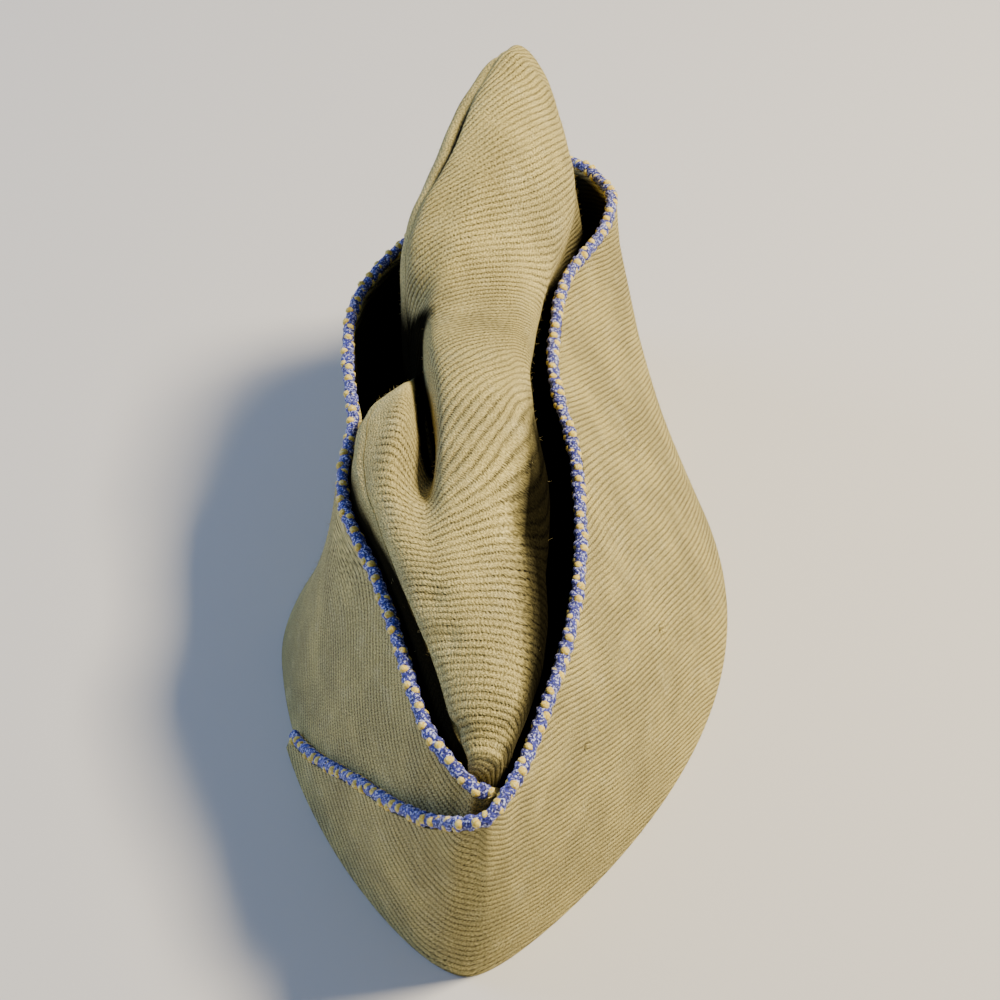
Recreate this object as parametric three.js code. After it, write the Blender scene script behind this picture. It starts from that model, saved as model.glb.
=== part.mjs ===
import * as THREE from 'three';

// A garrison cap of rib-knit wool, standing open on its rim with its crown crumpled to one side.
// Millimetres. +Z is up, +Y points to the back of the cap and +X to the wearer's left. The rim
// lies on z = 0, and the origin is the middle of the cap's footprint.

// Rim, the closed line where curtain and crown are sewn together: its outer face. Each side's
// half width grows from the tips by a mix of a round and a pointed curve.
const RIM_HALF_LENGTH = 124;
const RIM_HALF_WIDTH = { right: 67, left: 68 };
const TIP_ROUNDNESS = { right: 0.44, left: 0.48 };
const POINTEDNESS = { right: 2.5, left: 2.2 };

// The -X side draws in behind its middle
const DRAWN_IN = 0.24;
const DRAWN_IN_START = 78;
const DRAWN_IN_END = 116;

// Where the middle of the footprint lies from the middle of the rim
const FOOTPRINT_MIDDLE = { x: 1.85, y: 0.6 };

// Cloth and cord
const CURTAIN_WALL = 2.4;
const LAYER_STEP = 3.1;
const GAP = 0.3;
const PIPING_DIAMETER = 3.8;
const CORD_GAP = 0.5;
const CORD_INSET = 0.9;
const BACK_CORD_ANGLE = 177;

// Angles along the rim, in degrees from the front tip
const STAND_OFF_END = 46;
const LAYER_FADE_START = 100;
const LAYER_FADE_END = 149;
const OVERLAP_START = 28;
const OVERLAP_END = 54;
const HIDDEN_END = 17;
const HIDDEN_CORD_END = 5;
const FLAP_END = 63;

// Towards the tips, walls are set inwards along the cap's length and no longer square to the rim
const TIP_BLEND = 34;

// How far the +X curtain's wall bellies out between rim and edge
const RIGHT_BELLY = 5;

// How the crown's lower wall eases off the curtain: more with height, more on a leaning wall, and
// more where it is about to pull in to the ridge
const CROWN_EASE = 2.2;
const LEAN_FACTOR = 1.15;
const PULL_SHARE = 0.12;

// Grid steps
const CROWN_STATIONS = 44;
const SPAN_STEPS = 2;
const CURTAIN_STATIONS = 36;
const CURTAIN_RISE_STEPS = 7;
const PIPING_STEPS = 110;
const PIPING_SIDES = 8;
const INSIDE_CORD_POINTS = 40;
const OUTSIDE_CORD_POINTS = 52;

// Steps over which slopes and normals are measured
const RIM_STEP = 1;
const NORMAL_STEP = 1.7;
const RISE_STEP = 0.03;
const SLANT_STEP = 2.5;

// Finishes: dull knit, and a cord that is a little smoother
const KNIT = { color: 0xa5976b, roughness: 0.95, metalness: 0 };
const CORD = { color: 0x5a5fae, roughness: 0.7, metalness: 0 };

// Smooth step from 0 at start to 1 at end
function ease(start, end, value) {
  const t = Math.min(Math.max((value - start) / (end - start), 0), 1);
  return t * t * (3 - 2 * t);
}

// Reads a table by name: gives a function from the first column's value to all the others,
// smoothly joined through the rows
function tableReader(columns, rows) {
  const keys = rows.map((row) => row[0]);
  const slope = (i, c) => {
    const low = Math.max(i - 1, 0);
    const high = Math.min(i + 1, rows.length - 1);
    return (rows[high][c] - rows[low][c]) / (keys[high] - keys[low]);
  };
  return (key) => {
    let i = 0;
    while (i < rows.length - 2 && key > keys[i + 1]) i += 1;
    const h = keys[i + 1] - keys[i];
    const t = Math.min(Math.max((key - keys[i]) / h, 0), 1);
    const found = {};
    columns.forEach((name, c) => {
      const a = rows[i][c];
      const b = rows[i + 1][c];
      const fromA = a + slope(i, c) * h * t;
      const fromB = b - slope(i + 1, c) * h * (1 - t);
      found[name] = THREE.MathUtils.lerp(fromA, fromB, t * t * (3 - 2 * t));
    });
    return found;
  };
}

// The curtain's piped edge: the cord's axis above each place on the rim, front to back
const EDGE_COLUMNS = ['angle', 'x', 'y', 'z'];
const rightEdge = tableReader(EDGE_COLUMNS, [
  [0, 4.5, -127, 74],
  [14.6, 8.5, -124.5, 75.5],
  [24.3, 12.5, -116.5, 76.5],
  [33, 15.8, -106.5, 77],
  [42, 19, -92.5, 78],
  [54.5, 23, -72, 79],
  [66, 24.2, -50, 80],
  [76, 22.9, -30.4, 81],
  [86, 20, -8.8, 81],
  [96.5, 13.8, 13.8, 81],
  [106, 12.9, 34, 81],
  [117, 15, 57.9, 81],
  [127, 22.9, 75.5, 80],
  [138, 26.2, 93.3, 79],
  [147, 24.5, 104.5, 77],
  [162, 13.1, 124, 71.5],
  [180, 2, 128, 69],
]);

// Negative angles are its hidden end, past the front fold and under the other curtain
const leftEdge = tableReader(EDGE_COLUMNS, [
  [-20, 11.4, -110.5, 66],
  [-10, 8.6, -115, 71.5],
  [0, 4.5, -118.5, 74],
  [14.6, -0.5, -115.7, 75.2],
  [24.3, -6, -110.3, 76.8],
  [33, -11, -103, 77.6],
  [42, -15.8, -91.5, 78.5],
  [56, -23, -72, 80],
  [68, -30.5, -55, 81],
  [77, -36.9, -43.1, 82],
  [83, -40.1, -32.8, 82],
  [88, -41, -22, 82],
  [93, -39.6, -7.5, 82],
  [97, -42.9, 4.4, 82],
  [102.5, -45.6, 20.2, 82],
  [109, -46.1, 36.8, 82],
  [116, -42.5, 53.4, 81],
  [124, -35.5, 68.6, 80],
  [135, -26, 88, 77],
  [149, -15, 107, 74],
  [162, -5.5, 121.5, 71],
  [180, 2, 128, 69],
]);

// Where the flap's cord lies on the wall past the front fold: the share of the full wall height
const riseOfFlap = tableReader(['angle', 'share'], [
  [0, 1],
  [9, 0.93],
  [20, 0.8],
  [34, 0.62],
  [49, 0.36],
  [57, 0.18],
  [63, 0.08],
]);

// How far the -X curtain's wall bellies out between rim and edge: it caves in behind the corner
const leftBelly = tableReader(['angle', 'depth'], [
  [0, 0],
  [40, 2],
  [66, 0.5],
  [88, -3.5],
  [106, -6],
  [130, -3.5],
  [180, 0],
]);

// The crown's sections, front to back, seen along +Y. The seam runs along the -X side of the
// ridge. From it the +X panel passes over the thumb-shaped fold, a valley, the main ridge and the
// shoulder, and the -X panel rolls over and drops. At TUCK_RISE of the curtain's height the panels
// are pulled in to tuckX and flankX, which leaves a deep gap beside the ridge. The cloth is
// stretched thinner at the tips and round the notch between fold and ridge.
const LOWER_RISES = [0, 0.2, 0.38];
const TUCK_RISE = 0.62;
const CROWN_COLUMNS = [
  'angle', 'y', 'tuckX', 'rollX', 'rollZ', 'seamX', 'seamZ', 'foldX', 'foldZ',
  'valleyX', 'valleyZ', 'ridgeX', 'ridgeZ', 'shoulderX', 'shoulderZ', 'flankX', 'wall',
];
const crownRow = tableReader(CROWN_COLUMNS, [
  [0, -113.6, 2.6, 1.3, 62, 0.6, 72.6, 0.8, 71.4, 1, 69.8, 1.2, 67.2, 1.5, 62, 3, 1.1],
  [9, -112, 0, -0.1, 70, 0.4, 75.8, 1.3, 77.1, 3, 77.8, 5, 77.1, 6.8, 73.8, 6.5, 1.1],
  [18.6, -109.2, -4, -2, 73.5, -1, 78, 0.8, 80, 3.2, 80.9, 6.2, 80.2, 9, 76.5, 6.5, 1.2],
  [29.3, -103, -10.5, -6, 78, -4.8, 81.5, -2.5, 84, 1, 86, 5.5, 86.2, 10.5, 83.5, 6, 1.6],
  [39.3, -91.5, -15, -10.6, 81.5, -9.2, 84.5, -6, 88, -1.5, 90, 4.5, 90.3, 11.2, 87, 5, 2],
  [49.3, -77, -17.5, -17, 85, -16.3, 88, -12.5, 91.5, -7, 93.3, 0.5, 93.7, 9.8, 90, 4, 2],
  [58.4, -62, -22.5, -23.8, 87.5, -23.3, 90.5, -19.5, 94, -13, 95, -6, 96, 6.8, 92.5, 3.5, 2],
  [65, -50, -28.5, -29.2, 89, -28.2, 92, -23, 95.5, -15.5, 94, -9, 98, 5.8, 94.5, 3, 2],
  [71.2, -38, -35, -34.3, 90, -32.2, 93, -25, 97.5, -16.5, 88.5, -11.5, 99.8, 6.3, 96, 2.5, 2],
  [77.3, -26, -37.5, -36, 91, -33.2, 95, -24, 99.3, -16.2, 81, -12.8, 101, 7, 97.5, 2.5, 2],
  [82.7, -15, -37, -35.3, 90, -32.8, 94.5, -24.5, 98.5, -17.8, 76, -14.3, 101.8, 8, 98.5, 2.5, 2],
  [87.6, -5, -33.5, -32.2, 86, -29.8, 91, -24.8, 94.5, -19.8, 75, -16.2, 102.5, 9, 99, 2.5, 1.6],
  [92, 4, -31, -28.8, 79, -26.8, 84.5, -24.2, 88, -21.6, 78, -18.4, 103, 9.6, 99.5, 2.5, 1.3],
  [95.8, 12, -29.5, -27.6, 73, -26.4, 78.5, -25.2, 85, -23.6, 94, -18.6, 104.5, 9.8, 99.5, 2.5, 1.3],
  [99.7, 20, -29.8, -29, 86, -27.8, 91.5, -26, 97, -23.2, 102, -17.3, 107.5, 10, 99, 2.5, 1.6],
  [103.7, 28, -31, -30, 97.5, -29, 102, -27, 106, -23, 109, -14, 111.5, 10.3, 99, 2.5, 2],
  [109.8, 40, -31, -30, 107, -28, 110.5, -25.5, 113.5, -20, 115, -10.5, 115.5, 10.6, 99, 3, 2],
  [116.1, 52, -29, -26.5, 113.5, -23, 117.5, -20.5, 119.5, -15, 120.5, -6, 119.5, 12, 99.5, 5, 2],
  [121.6, 62, -26.5, -23.5, 117, -19.5, 121, -17, 122.5, -12, 123.5, -4, 122.5, 14, 100.5, 8.5, 2],
  [128.8, 74, -23, -20.5, 120.5, -16.5, 124, -14, 126, -9.5, 127, -3, 125.5, 14.3, 103.5, 13.5, 2],
  [136.7, 86, -19, -16, 124, -12.3, 127.3, -10, 128.8, -6.5, 129.2, -1.8, 128, 11.5, 108, 19, 2],
  [144.3, 96, -14, -10.5, 126, -7.8, 129.3, -6.3, 130.3, -4.5, 130.7, -1, 129, 7.5, 114, 20, 2],
  [154.9, 106, -9.5, -8, 115, -5.5, 119.5, -4, 120.3, -2, 120.4, 0.5, 118.5, 6.5, 107, 15.5, 1.7],
  [164.7, 113.5, -5, -5.5, 92, -3.5, 98, -2.2, 99, -0.5, 99, 1.5, 98, 6, 89, 9, 1.3],
  [180, 118.5, 0.3, -0.6, 62, -2.2, 78, -1.95, 75.5, -1.65, 72.5, -1.3, 69, -0.8, 64, 1.3, 1.1],
]);

// The rim's outer face at a signed angle, positive on the +X side, and its outward direction
function rimPoint(degrees) {
  const angle = THREE.MathUtils.degToRad(degrees);
  const sine = Math.sin(angle);
  const hand = sine < 0 ? 'left' : 'right';
  const size = Math.abs(sine);
  const reach = TIP_ROUNDNESS[hand] * size + (1 - TIP_ROUNDNESS[hand]) * size ** POINTEDNESS[hand];
  const drawn = sine < 0 ? DRAWN_IN * ease(DRAWN_IN_START, DRAWN_IN_END, degreesFromTip(degrees)) : 0;
  const x = Math.sign(sine) * RIM_HALF_WIDTH[hand] * reach * (1 - drawn);
  return new THREE.Vector3(x, -RIM_HALF_LENGTH * Math.cos(angle), 0);
}

// Angles past the back tip carry on along the other side
function degreesFromTip(degrees) {
  const turned = Math.abs(degrees) % 360;
  return turned > 180 ? 360 - turned : turned;
}

function rimOutward(degrees) {
  const along = rimPoint(degrees + RIM_STEP).sub(rimPoint(degrees - RIM_STEP));
  return new THREE.Vector3(along.y, -along.x, 0).normalize();
}

// A leaning wall from foot to edge, bellied outwards
function leaningWall(foot, edge, rise, belly, outward) {
  const top = new THREE.Vector3(edge.x, edge.y, edge.z);
  const swell = belly * Math.sin(Math.PI * rise);
  return foot.clone().lerp(top, rise).addScaledVector(outward, swell);
}

function rightWall(degrees, rise) {
  const belly = RIGHT_BELLY * Math.sin(THREE.MathUtils.degToRad(degrees)) ** 2;
  return leaningWall(rimPoint(degrees), rightEdge(degrees), rise, belly, rimOutward(degrees));
}

// The +X curtain lies outside the -X one, until both meet at the back
function layerStep(degrees) {
  return LAYER_STEP * (1 - ease(LAYER_FADE_START, LAYER_FADE_END, degreesFromTip(degrees)));
}

// The -X curtain's wall. Its angle grows from the front fold to the back, and negative angles
// are its hidden end.
function leftWall(degrees, rise) {
  const outward = rimOutward(-degrees);
  const foot = rimPoint(-degrees).addScaledVector(outward, -layerStep(degrees));
  return leaningWall(foot, leftEdge(degrees), rise, leftBelly(degrees).depth, outward);
}

// At the front fold the curtains stand further apart at the edge than at the rim
const FRONT_STAND_OFF = leftEdge(0).y - rightEdge(0).y - LAYER_STEP;

// Both layers at a signed angle, positive on the +X side
function outerLayer(degrees, rise) {
  const turned = degrees > 180 ? degrees - 360 : degrees;
  if (turned >= 0) return rightWall(turned, rise);
  const standOff = FRONT_STAND_OFF * rise * (1 - ease(0, STAND_OFF_END, -turned));
  return leftWall(-turned, rise).addScaledVector(rimOutward(turned), layerStep(turned) + standOff);
}

function innerLayer(degrees, rise) {
  return degrees < -180 ? rightWall(degrees + 360, rise) : leftWall(-degrees, rise);
}

// Outward normal of a layer, level at the rim so that the rim stays flat
function layerNormal(layer, degrees, rise) {
  const along = layer(degrees + NORMAL_STEP, rise).sub(layer(degrees - NORMAL_STEP, rise));
  const up = layer(degrees, Math.min(rise + RISE_STEP, 1)).sub(layer(degrees, Math.max(rise - RISE_STEP, 0)));
  const normal = along.cross(up);
  if (rise === 0) normal.z = 0;
  return normal.normalize();
}

// A closed wall between two grids of points, the first one outside
function wallSolid(outer, inner) {
  const rows = outer.length;
  const columns = outer[0].length;
  const points = [...outer.flat(), ...inner.flat()];
  const at = (layer, i, j) => (layer * rows + i) * columns + j;
  const faces = [];
  const quad = (a, b, c, d) => faces.push(a, b, c, a, c, d);
  for (let i = 0; i < rows - 1; i += 1) {
    for (let j = 0; j < columns - 1; j += 1) {
      quad(at(0, i, j), at(0, i + 1, j), at(0, i + 1, j + 1), at(0, i, j + 1));
      quad(at(1, i, j), at(1, i, j + 1), at(1, i + 1, j + 1), at(1, i + 1, j));
    }
    quad(at(0, i, 0), at(1, i, 0), at(1, i + 1, 0), at(0, i + 1, 0));
    const last = columns - 1;
    quad(at(0, i, last), at(0, i + 1, last), at(1, i + 1, last), at(1, i, last));
  }
  for (let j = 0; j < columns - 1; j += 1) {
    quad(at(0, 0, j), at(0, 0, j + 1), at(1, 0, j + 1), at(1, 0, j));
    const last = rows - 1;
    quad(at(0, last, j), at(1, last, j), at(1, last, j + 1), at(0, last, j + 1));
  }
  const geometry = new THREE.BufferGeometry();
  geometry.setAttribute('position', new THREE.Float32BufferAttribute(points.flatMap((p) => p.toArray()), 3));
  geometry.setIndex(signedVolume(points, faces) < 0 ? faces.reverse() : faces);
  geometry.computeVertexNormals();
  return geometry;
}

function signedVolume(points, faces) {
  let sum = 0;
  for (let k = 0; k < faces.length; k += 3) {
    const [a, b, c] = [points[faces[k]], points[faces[k + 1]], points[faces[k + 2]]];
    sum += a.dot(b.clone().cross(c)) / 6;
  }
  return sum;
}

// Share of the wall's height at which its cloth ends: half a cord and a gap below the cord's axis,
// measured across the cord
function clothRise(layer, degrees, cordRise) {
  const wall = layer(degrees, 1).sub(layer(degrees, 0));
  const after = layer(degrees + SLANT_STEP, cordRise(degrees + SLANT_STEP));
  const before = layer(degrees - SLANT_STEP, cordRise(degrees - SLANT_STEP));
  const across = Math.sin(after.sub(before).angleTo(wall));
  return cordRise(degrees) - (PIPING_DIAMETER / 2 + CORD_GAP) / across / wall.length();
}

const outerCordRise = (degrees) => (degrees >= 0 ? 1 : riseOfFlap(-degrees).share);
const innerCordRise = () => 1;

// One curtain: a wall along a layer between two signed angles, up to just below its cord
function curtain(layer, cordRise, from, to) {
  const outer = [];
  const inner = [];
  for (let i = 0; i <= CURTAIN_STATIONS; i += 1) {
    const degrees = THREE.MathUtils.lerp(from, to, i / CURTAIN_STATIONS);
    const top = clothRise(layer, degrees, cordRise);
    const seamGap = Math.abs(degrees) === 180 ? Math.sign(degrees) * GAP / 2 : 0;
    const column = [];
    const inside = [];
    for (let j = 0; j <= CURTAIN_RISE_STEPS; j += 1) {
      const rise = top * j / CURTAIN_RISE_STEPS;
      const point = layer(degrees, rise);
      point.x += seamGap;
      column.push(point);
      inside.push(point.clone().addScaledVector(layerNormal(layer, degrees, rise), -CURTAIN_WALL));
    }
    outer.push(column);
    inner.push(inside);
  }
  return wallSolid(outer, inner);
}

// Direction in which a wall is set inwards: square to the rim along the sides, and blended to the
// cap's length towards the tips
function inwardFrom(outward, degrees) {
  const tip = new THREE.Vector3(0, degrees < 90 ? 1 : -1, 0);
  const share = ease(0, TIP_BLEND, Math.min(degrees, 180 - degrees));
  return tip.lerp(outward.clone().negate(), share).normalize();
}

// The crown's lower wall follows the inmost cloth of the curtain: two layers of it at the front of
// the +X side
function lowerCrownPoint(degrees, side, rise) {
  const outward = rimOutward(side * degrees);
  const inward = inwardFrom(outward, degrees);
  const doubled = side > 0 ? 1 - ease(OVERLAP_START, OVERLAP_END, degrees) : 0;
  const layers = doubled * (LAYER_STEP + FRONT_STAND_OFF * rise);
  const inset = (CURTAIN_WALL + GAP) * LEAN_FACTOR + CROWN_EASE * rise * rise + layers;
  const wall = side > 0 ? rightWall : leftWall;
  return wall(degrees, rise).addScaledVector(inward, -inset / inward.dot(outward));
}

function crownSection(degrees, side) {
  const row = crownRow(degrees);
  const tuck = lowerCrownPoint(degrees, side, TUCK_RISE);
  const pulledX = side > 0 ? Math.min(tuck.x, row.flankX) : Math.max(tuck.x, row.tuckX);
  const lower = LOWER_RISES.map((rise) => {
    const point = lowerCrownPoint(degrees, side, rise);
    point.x += (pulledX - tuck.x) * PULL_SHARE * rise / LOWER_RISES[LOWER_RISES.length - 1];
    return point;
  });
  tuck.x = pulledX;
  const names = side > 0 ? ['shoulder', 'ridge', 'valley', 'fold', 'seam'] : ['roll', 'seam'];
  const upper = names.map((name) => new THREE.Vector3(row[`${name}X`], row.y, row[`${name}Z`]));
  const knots = [...lower, tuck, ...upper];
  const curve = new THREE.CatmullRomCurve3(knots, false, 'centripetal');
  const steps = (knots.length - 1) * SPAN_STEPS;
  return Array.from({ length: steps + 1 }, (_, k) => curve.getPoint(k / steps));
}

function gridNormals(grid, side) {
  return grid.map((column, i) => column.map((_, j) => {
    const before = grid[Math.max(i - 1, 0)][j];
    const after = grid[Math.min(i + 1, grid.length - 1)][j];
    const along = after.clone().sub(before);
    const up = column[Math.min(j + 1, column.length - 1)].clone().sub(column[Math.max(j - 1, 0)]);
    const normal = along.cross(up).multiplyScalar(side);
    if (j === 0) normal.z = 0;
    return normal.normalize();
  }));
}

function crownGrid(side) {
  return Array.from({ length: CROWN_STATIONS + 1 }, (_, i) => crownSection(180 * i / CROWN_STATIONS, side));
}

// Direction in which a panel is parted from the other one: sideways at the tips, and along its own
// cloth at the seam
function partingAt(side, column, along) {
  const sideways = new THREE.Vector3(side, 0, 0);
  const [before, edge] = column.slice(-2);
  const degrees = 180 * Math.min(along, 1 - along);
  return sideways.lerp(before.clone().sub(edge).normalize(), ease(0, TIP_BLEND, degrees)).normalize();
}

// One crown panel. Along the seam and the end lines both panels share one inward direction, and
// each stands off the other by half a gap.
function crownPanel(side, grids, normals) {
  const grid = grids[side];
  const last = grid.length - 1;
  const seam = grid[0].length - 1;
  const otherSeam = grids[-side][0].length - 1;
  const inward = normals[side].map((column, i) => column.map((normal, j) => {
    const shared = j < seam ? normal : normal.clone().add(normals[-side][i][otherSeam]).normalize();
    return inwardFrom(shared, 180 * i / last);
  }));
  const inner = grid.map((column, i) => column.map((point, j) => (
    point.clone().addScaledVector(inward[i][j], crownRow(180 * i / last).wall))));
  const parted = (points) => points.map((column, i) => column.map((point, j) => {
    const moved = point.clone();
    if (i === 0 || i === last || j === seam) moved.addScaledVector(partingAt(side, column, i / last), GAP / 2);
    return moved;
  }));
  return wallSolid(parted(grid), parted(inner));
}

// The cord's axis: from its end under the outer curtain, round the back and over the front fold
function pipingPath() {
  const along = (layer, cordRise, from, to, count) => Array.from({ length: count }, (_, k) => {
    const degrees = THREE.MathUtils.lerp(from, to, k / (count - 1));
    const rise = cordRise(degrees);
    return layer(degrees, rise).addScaledVector(layerNormal(layer, degrees, rise), -CORD_INSET);
  });
  const inside = along(innerLayer, innerCordRise, HIDDEN_CORD_END, -BACK_CORD_ANGLE, INSIDE_CORD_POINTS);
  const outside = along(outerLayer, outerCordRise, BACK_CORD_ANGLE, -FLAP_END, OUTSIDE_CORD_POINTS);
  return new THREE.CatmullRomCurve3([...inside, ...outside], false, 'centripetal');
}

function cord(path) {
  const section = new THREE.Shape().absarc(0, 0, PIPING_DIAMETER / 2, 0, 2 * Math.PI);
  return new THREE.ExtrudeGeometry(section, {
    extrudePath: path,
    steps: PIPING_STEPS,
    curveSegments: PIPING_SIDES / 2,
    bevelEnabled: false,
  });
}

function piece(name, geometry, finish) {
  geometry.translate(-FOOTPRINT_MIDDLE.x, -FOOTPRINT_MIDDLE.y, 0);
  const mesh = new THREE.Mesh(geometry, new THREE.MeshStandardMaterial(finish));
  mesh.name = name;
  return mesh;
}

const crownGrids = { 1: crownGrid(1), '-1': crownGrid(-1) };
const crownNormals = { 1: gridNormals(crownGrids[1], 1), '-1': gridNormals(crownGrids[-1], -1) };

const group = new THREE.Group();
group.add(piece('crown_left', crownPanel(-1, crownGrids, crownNormals), KNIT));
group.add(piece('crown_right', crownPanel(1, crownGrids, crownNormals), KNIT));
group.add(piece('curtain_left', curtain(innerLayer, innerCordRise, -180, HIDDEN_END), KNIT));
group.add(piece('curtain_right', curtain(outerLayer, outerCordRise, -FLAP_END, 180), KNIT));
group.add(piece('piping', cord(pipingPath()), CORD));

export default group;
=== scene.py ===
"""A garrison cap of rib-knit wool: the look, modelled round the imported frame.

The cloth is built from the same rules as the frame's cloth walls, on a finer grid, and carries
the knit's own coordinates. Lengths are in millimetres and angles in degrees until a mesh is made.
"""

import logging
import math
from collections.abc import Callable, Sequence
from dataclasses import dataclass, field
from enum import Enum
from functools import partial

import bpy
import numpy as np
from mathutils import Matrix, Vector


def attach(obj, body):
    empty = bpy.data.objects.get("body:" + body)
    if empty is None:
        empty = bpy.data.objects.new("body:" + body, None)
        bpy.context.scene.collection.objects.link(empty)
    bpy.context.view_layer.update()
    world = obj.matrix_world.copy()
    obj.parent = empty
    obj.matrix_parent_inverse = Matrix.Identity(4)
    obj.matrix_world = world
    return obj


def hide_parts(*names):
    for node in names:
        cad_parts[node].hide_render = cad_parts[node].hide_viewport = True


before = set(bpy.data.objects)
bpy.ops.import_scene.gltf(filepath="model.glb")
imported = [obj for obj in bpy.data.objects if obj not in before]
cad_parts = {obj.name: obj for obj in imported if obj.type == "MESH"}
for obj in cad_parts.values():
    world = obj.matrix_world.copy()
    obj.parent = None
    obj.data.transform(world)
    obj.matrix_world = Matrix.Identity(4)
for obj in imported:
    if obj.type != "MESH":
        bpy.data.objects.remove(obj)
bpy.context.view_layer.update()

LOG = logging.getLogger("garrison_cap")
Array = np.ndarray
AddNode = Callable[..., bpy.types.Node]
MM = 0.001
SHORTEST = 1e-9


def ease(start: float, end: float, value: Array) -> Array:
    """Smooth step from 0 at start to 1 at end."""
    t = np.clip((value - start) / (end - start), 0, 1)
    return t * t * (3 - 2 * t)


def unit(vectors: Array) -> Array:
    """Vectors brought to length one."""
    return vectors / np.maximum(np.linalg.norm(vectors, axis=-1, keepdims=True), SHORTEST)


def dot(a: Array, b: Array) -> Array:
    """Dot product over the last axis, which is kept."""
    return (a * b).sum(axis=-1, keepdims=True)


def away_from(points: Array, start: Sequence[float], end: Sequence[float]) -> Array:
    """Distance of points from a straight line between two places.

    Args:
        points: the points.
        start: one end of the line.
        end: its other end.

    Returns:
        The distance of each point.
    """
    a, b = np.array(start), np.array(end)
    share = np.clip(dot(points - a, b - a) / dot(b - a, b - a), 0, 1)
    return np.linalg.norm(points - a - (b - a) * share, axis=-1)


def lengths_along(points: Array, axis: int) -> Array:
    """Running length of a grid's lines.

    Args:
        points: grid of points, stations by columns.
        axis: 0 to run along the stations, 1 along the columns.

    Returns:
        The length from the line's first point to each point.
    """
    steps = np.linalg.norm(np.diff(points, axis=axis), axis=-1)
    pad = [(0, 0), (0, 0)]
    pad[axis] = (1, 0)
    return np.pad(np.cumsum(steps, axis=axis), pad)


class Table:
    """Rows of named columns, joined smoothly between the values of the first one."""

    def __init__(self, columns: str, rows: Sequence[Sequence[float]]) -> None:
        """Keeps the rows and their slopes.

        Args:
            columns: the columns' names, parted by spaces; the first one is the key.
            rows: the values, in order of the key.
        """
        self.columns = columns.split()
        self.rows = np.array(rows, float)
        keys = self.rows[:, 0]
        before = np.maximum(np.arange(len(keys)) - 1, 0)
        after = np.minimum(np.arange(len(keys)) + 1, len(keys) - 1)
        self.slopes = (self.rows[after] - self.rows[before]) / (keys[after] - keys[before])[:, None]

    def read(self, key: Array) -> dict[str, Array]:
        """Reads every column.

        Args:
            key: where to read.

        Returns:
            The columns' values at each key, by name.
        """
        keys = self.rows[:, 0]
        key = np.asarray(key, float)
        i = np.clip(np.searchsorted(keys, key) - 1, 0, len(keys) - 2)
        h = (keys[i + 1] - keys[i])[..., None]
        t = np.clip((key[..., None] - keys[i][..., None]) / h, 0, 1)
        from_a = self.rows[i] + self.slopes[i] * h * t
        from_b = self.rows[i + 1] - self.slopes[i + 1] * h * (1 - t)
        found = from_a + (from_b - from_a) * t * t * (3 - 2 * t)
        return {name: found[..., k] for k, name in enumerate(self.columns)}

    def point(self, key: Array) -> Array:
        """Points made of the columns x, y and z."""
        row = self.read(key)
        return np.stack([row[axis] for axis in "xyz"], axis=-1)


class Side(Enum):
    """The two sides of the cap, by the sign of x."""

    RIGHT = 1
    LEFT = -1


RIGHT_EDGE = Table("angle x y z", [
    (0, 4.5, -127, 74), (14.6, 8.5, -124.5, 75.5), (24.3, 12.5, -116.5, 76.5), (33, 15.8, -106.5, 77),
    (42, 19, -92.5, 78), (54.5, 23, -72, 79), (66, 24.2, -50, 80), (76, 22.9, -30.4, 81),
    (86, 20, -8.8, 81), (96.5, 13.8, 13.8, 81), (106, 12.9, 34, 81), (117, 15, 57.9, 81),
    (127, 22.9, 75.5, 80), (138, 26.2, 93.3, 79), (147, 24.5, 104.5, 77), (162, 13.1, 124, 71.5),
    (180, 2, 128, 69),
])

LEFT_EDGE = Table("angle x y z", [
    (-20, 11.4, -110.5, 66), (-10, 8.6, -115, 71.5), (0, 4.5, -118.5, 74), (14.6, -0.5, -115.7, 75.2),
    (24.3, -6, -110.3, 76.8), (33, -11, -103, 77.6), (42, -15.8, -91.5, 78.5), (56, -23, -72, 80),
    (68, -30.5, -55, 81), (77, -36.9, -43.1, 82), (83, -40.1, -32.8, 82), (88, -41, -22, 82),
    (93, -39.6, -7.5, 82), (97, -42.9, 4.4, 82), (102.5, -45.6, 20.2, 82), (109, -46.1, 36.8, 82),
    (116, -42.5, 53.4, 81), (124, -35.5, 68.6, 80), (135, -26, 88, 77), (149, -15, 107, 74),
    (162, -5.5, 121.5, 71), (180, 2, 128, 69),
])

FLAP_RISE = Table("angle share", [
    (0, 1), (9, 0.93), (20, 0.8), (34, 0.62), (49, 0.36), (57, 0.18), (63, 0.08),
])

LEFT_BELLY = Table("angle depth", [
    (0, 0), (40, 2), (66, 0.5), (88, -3.5), (106, -6), (130, -3.5), (180, 0),
])

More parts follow.
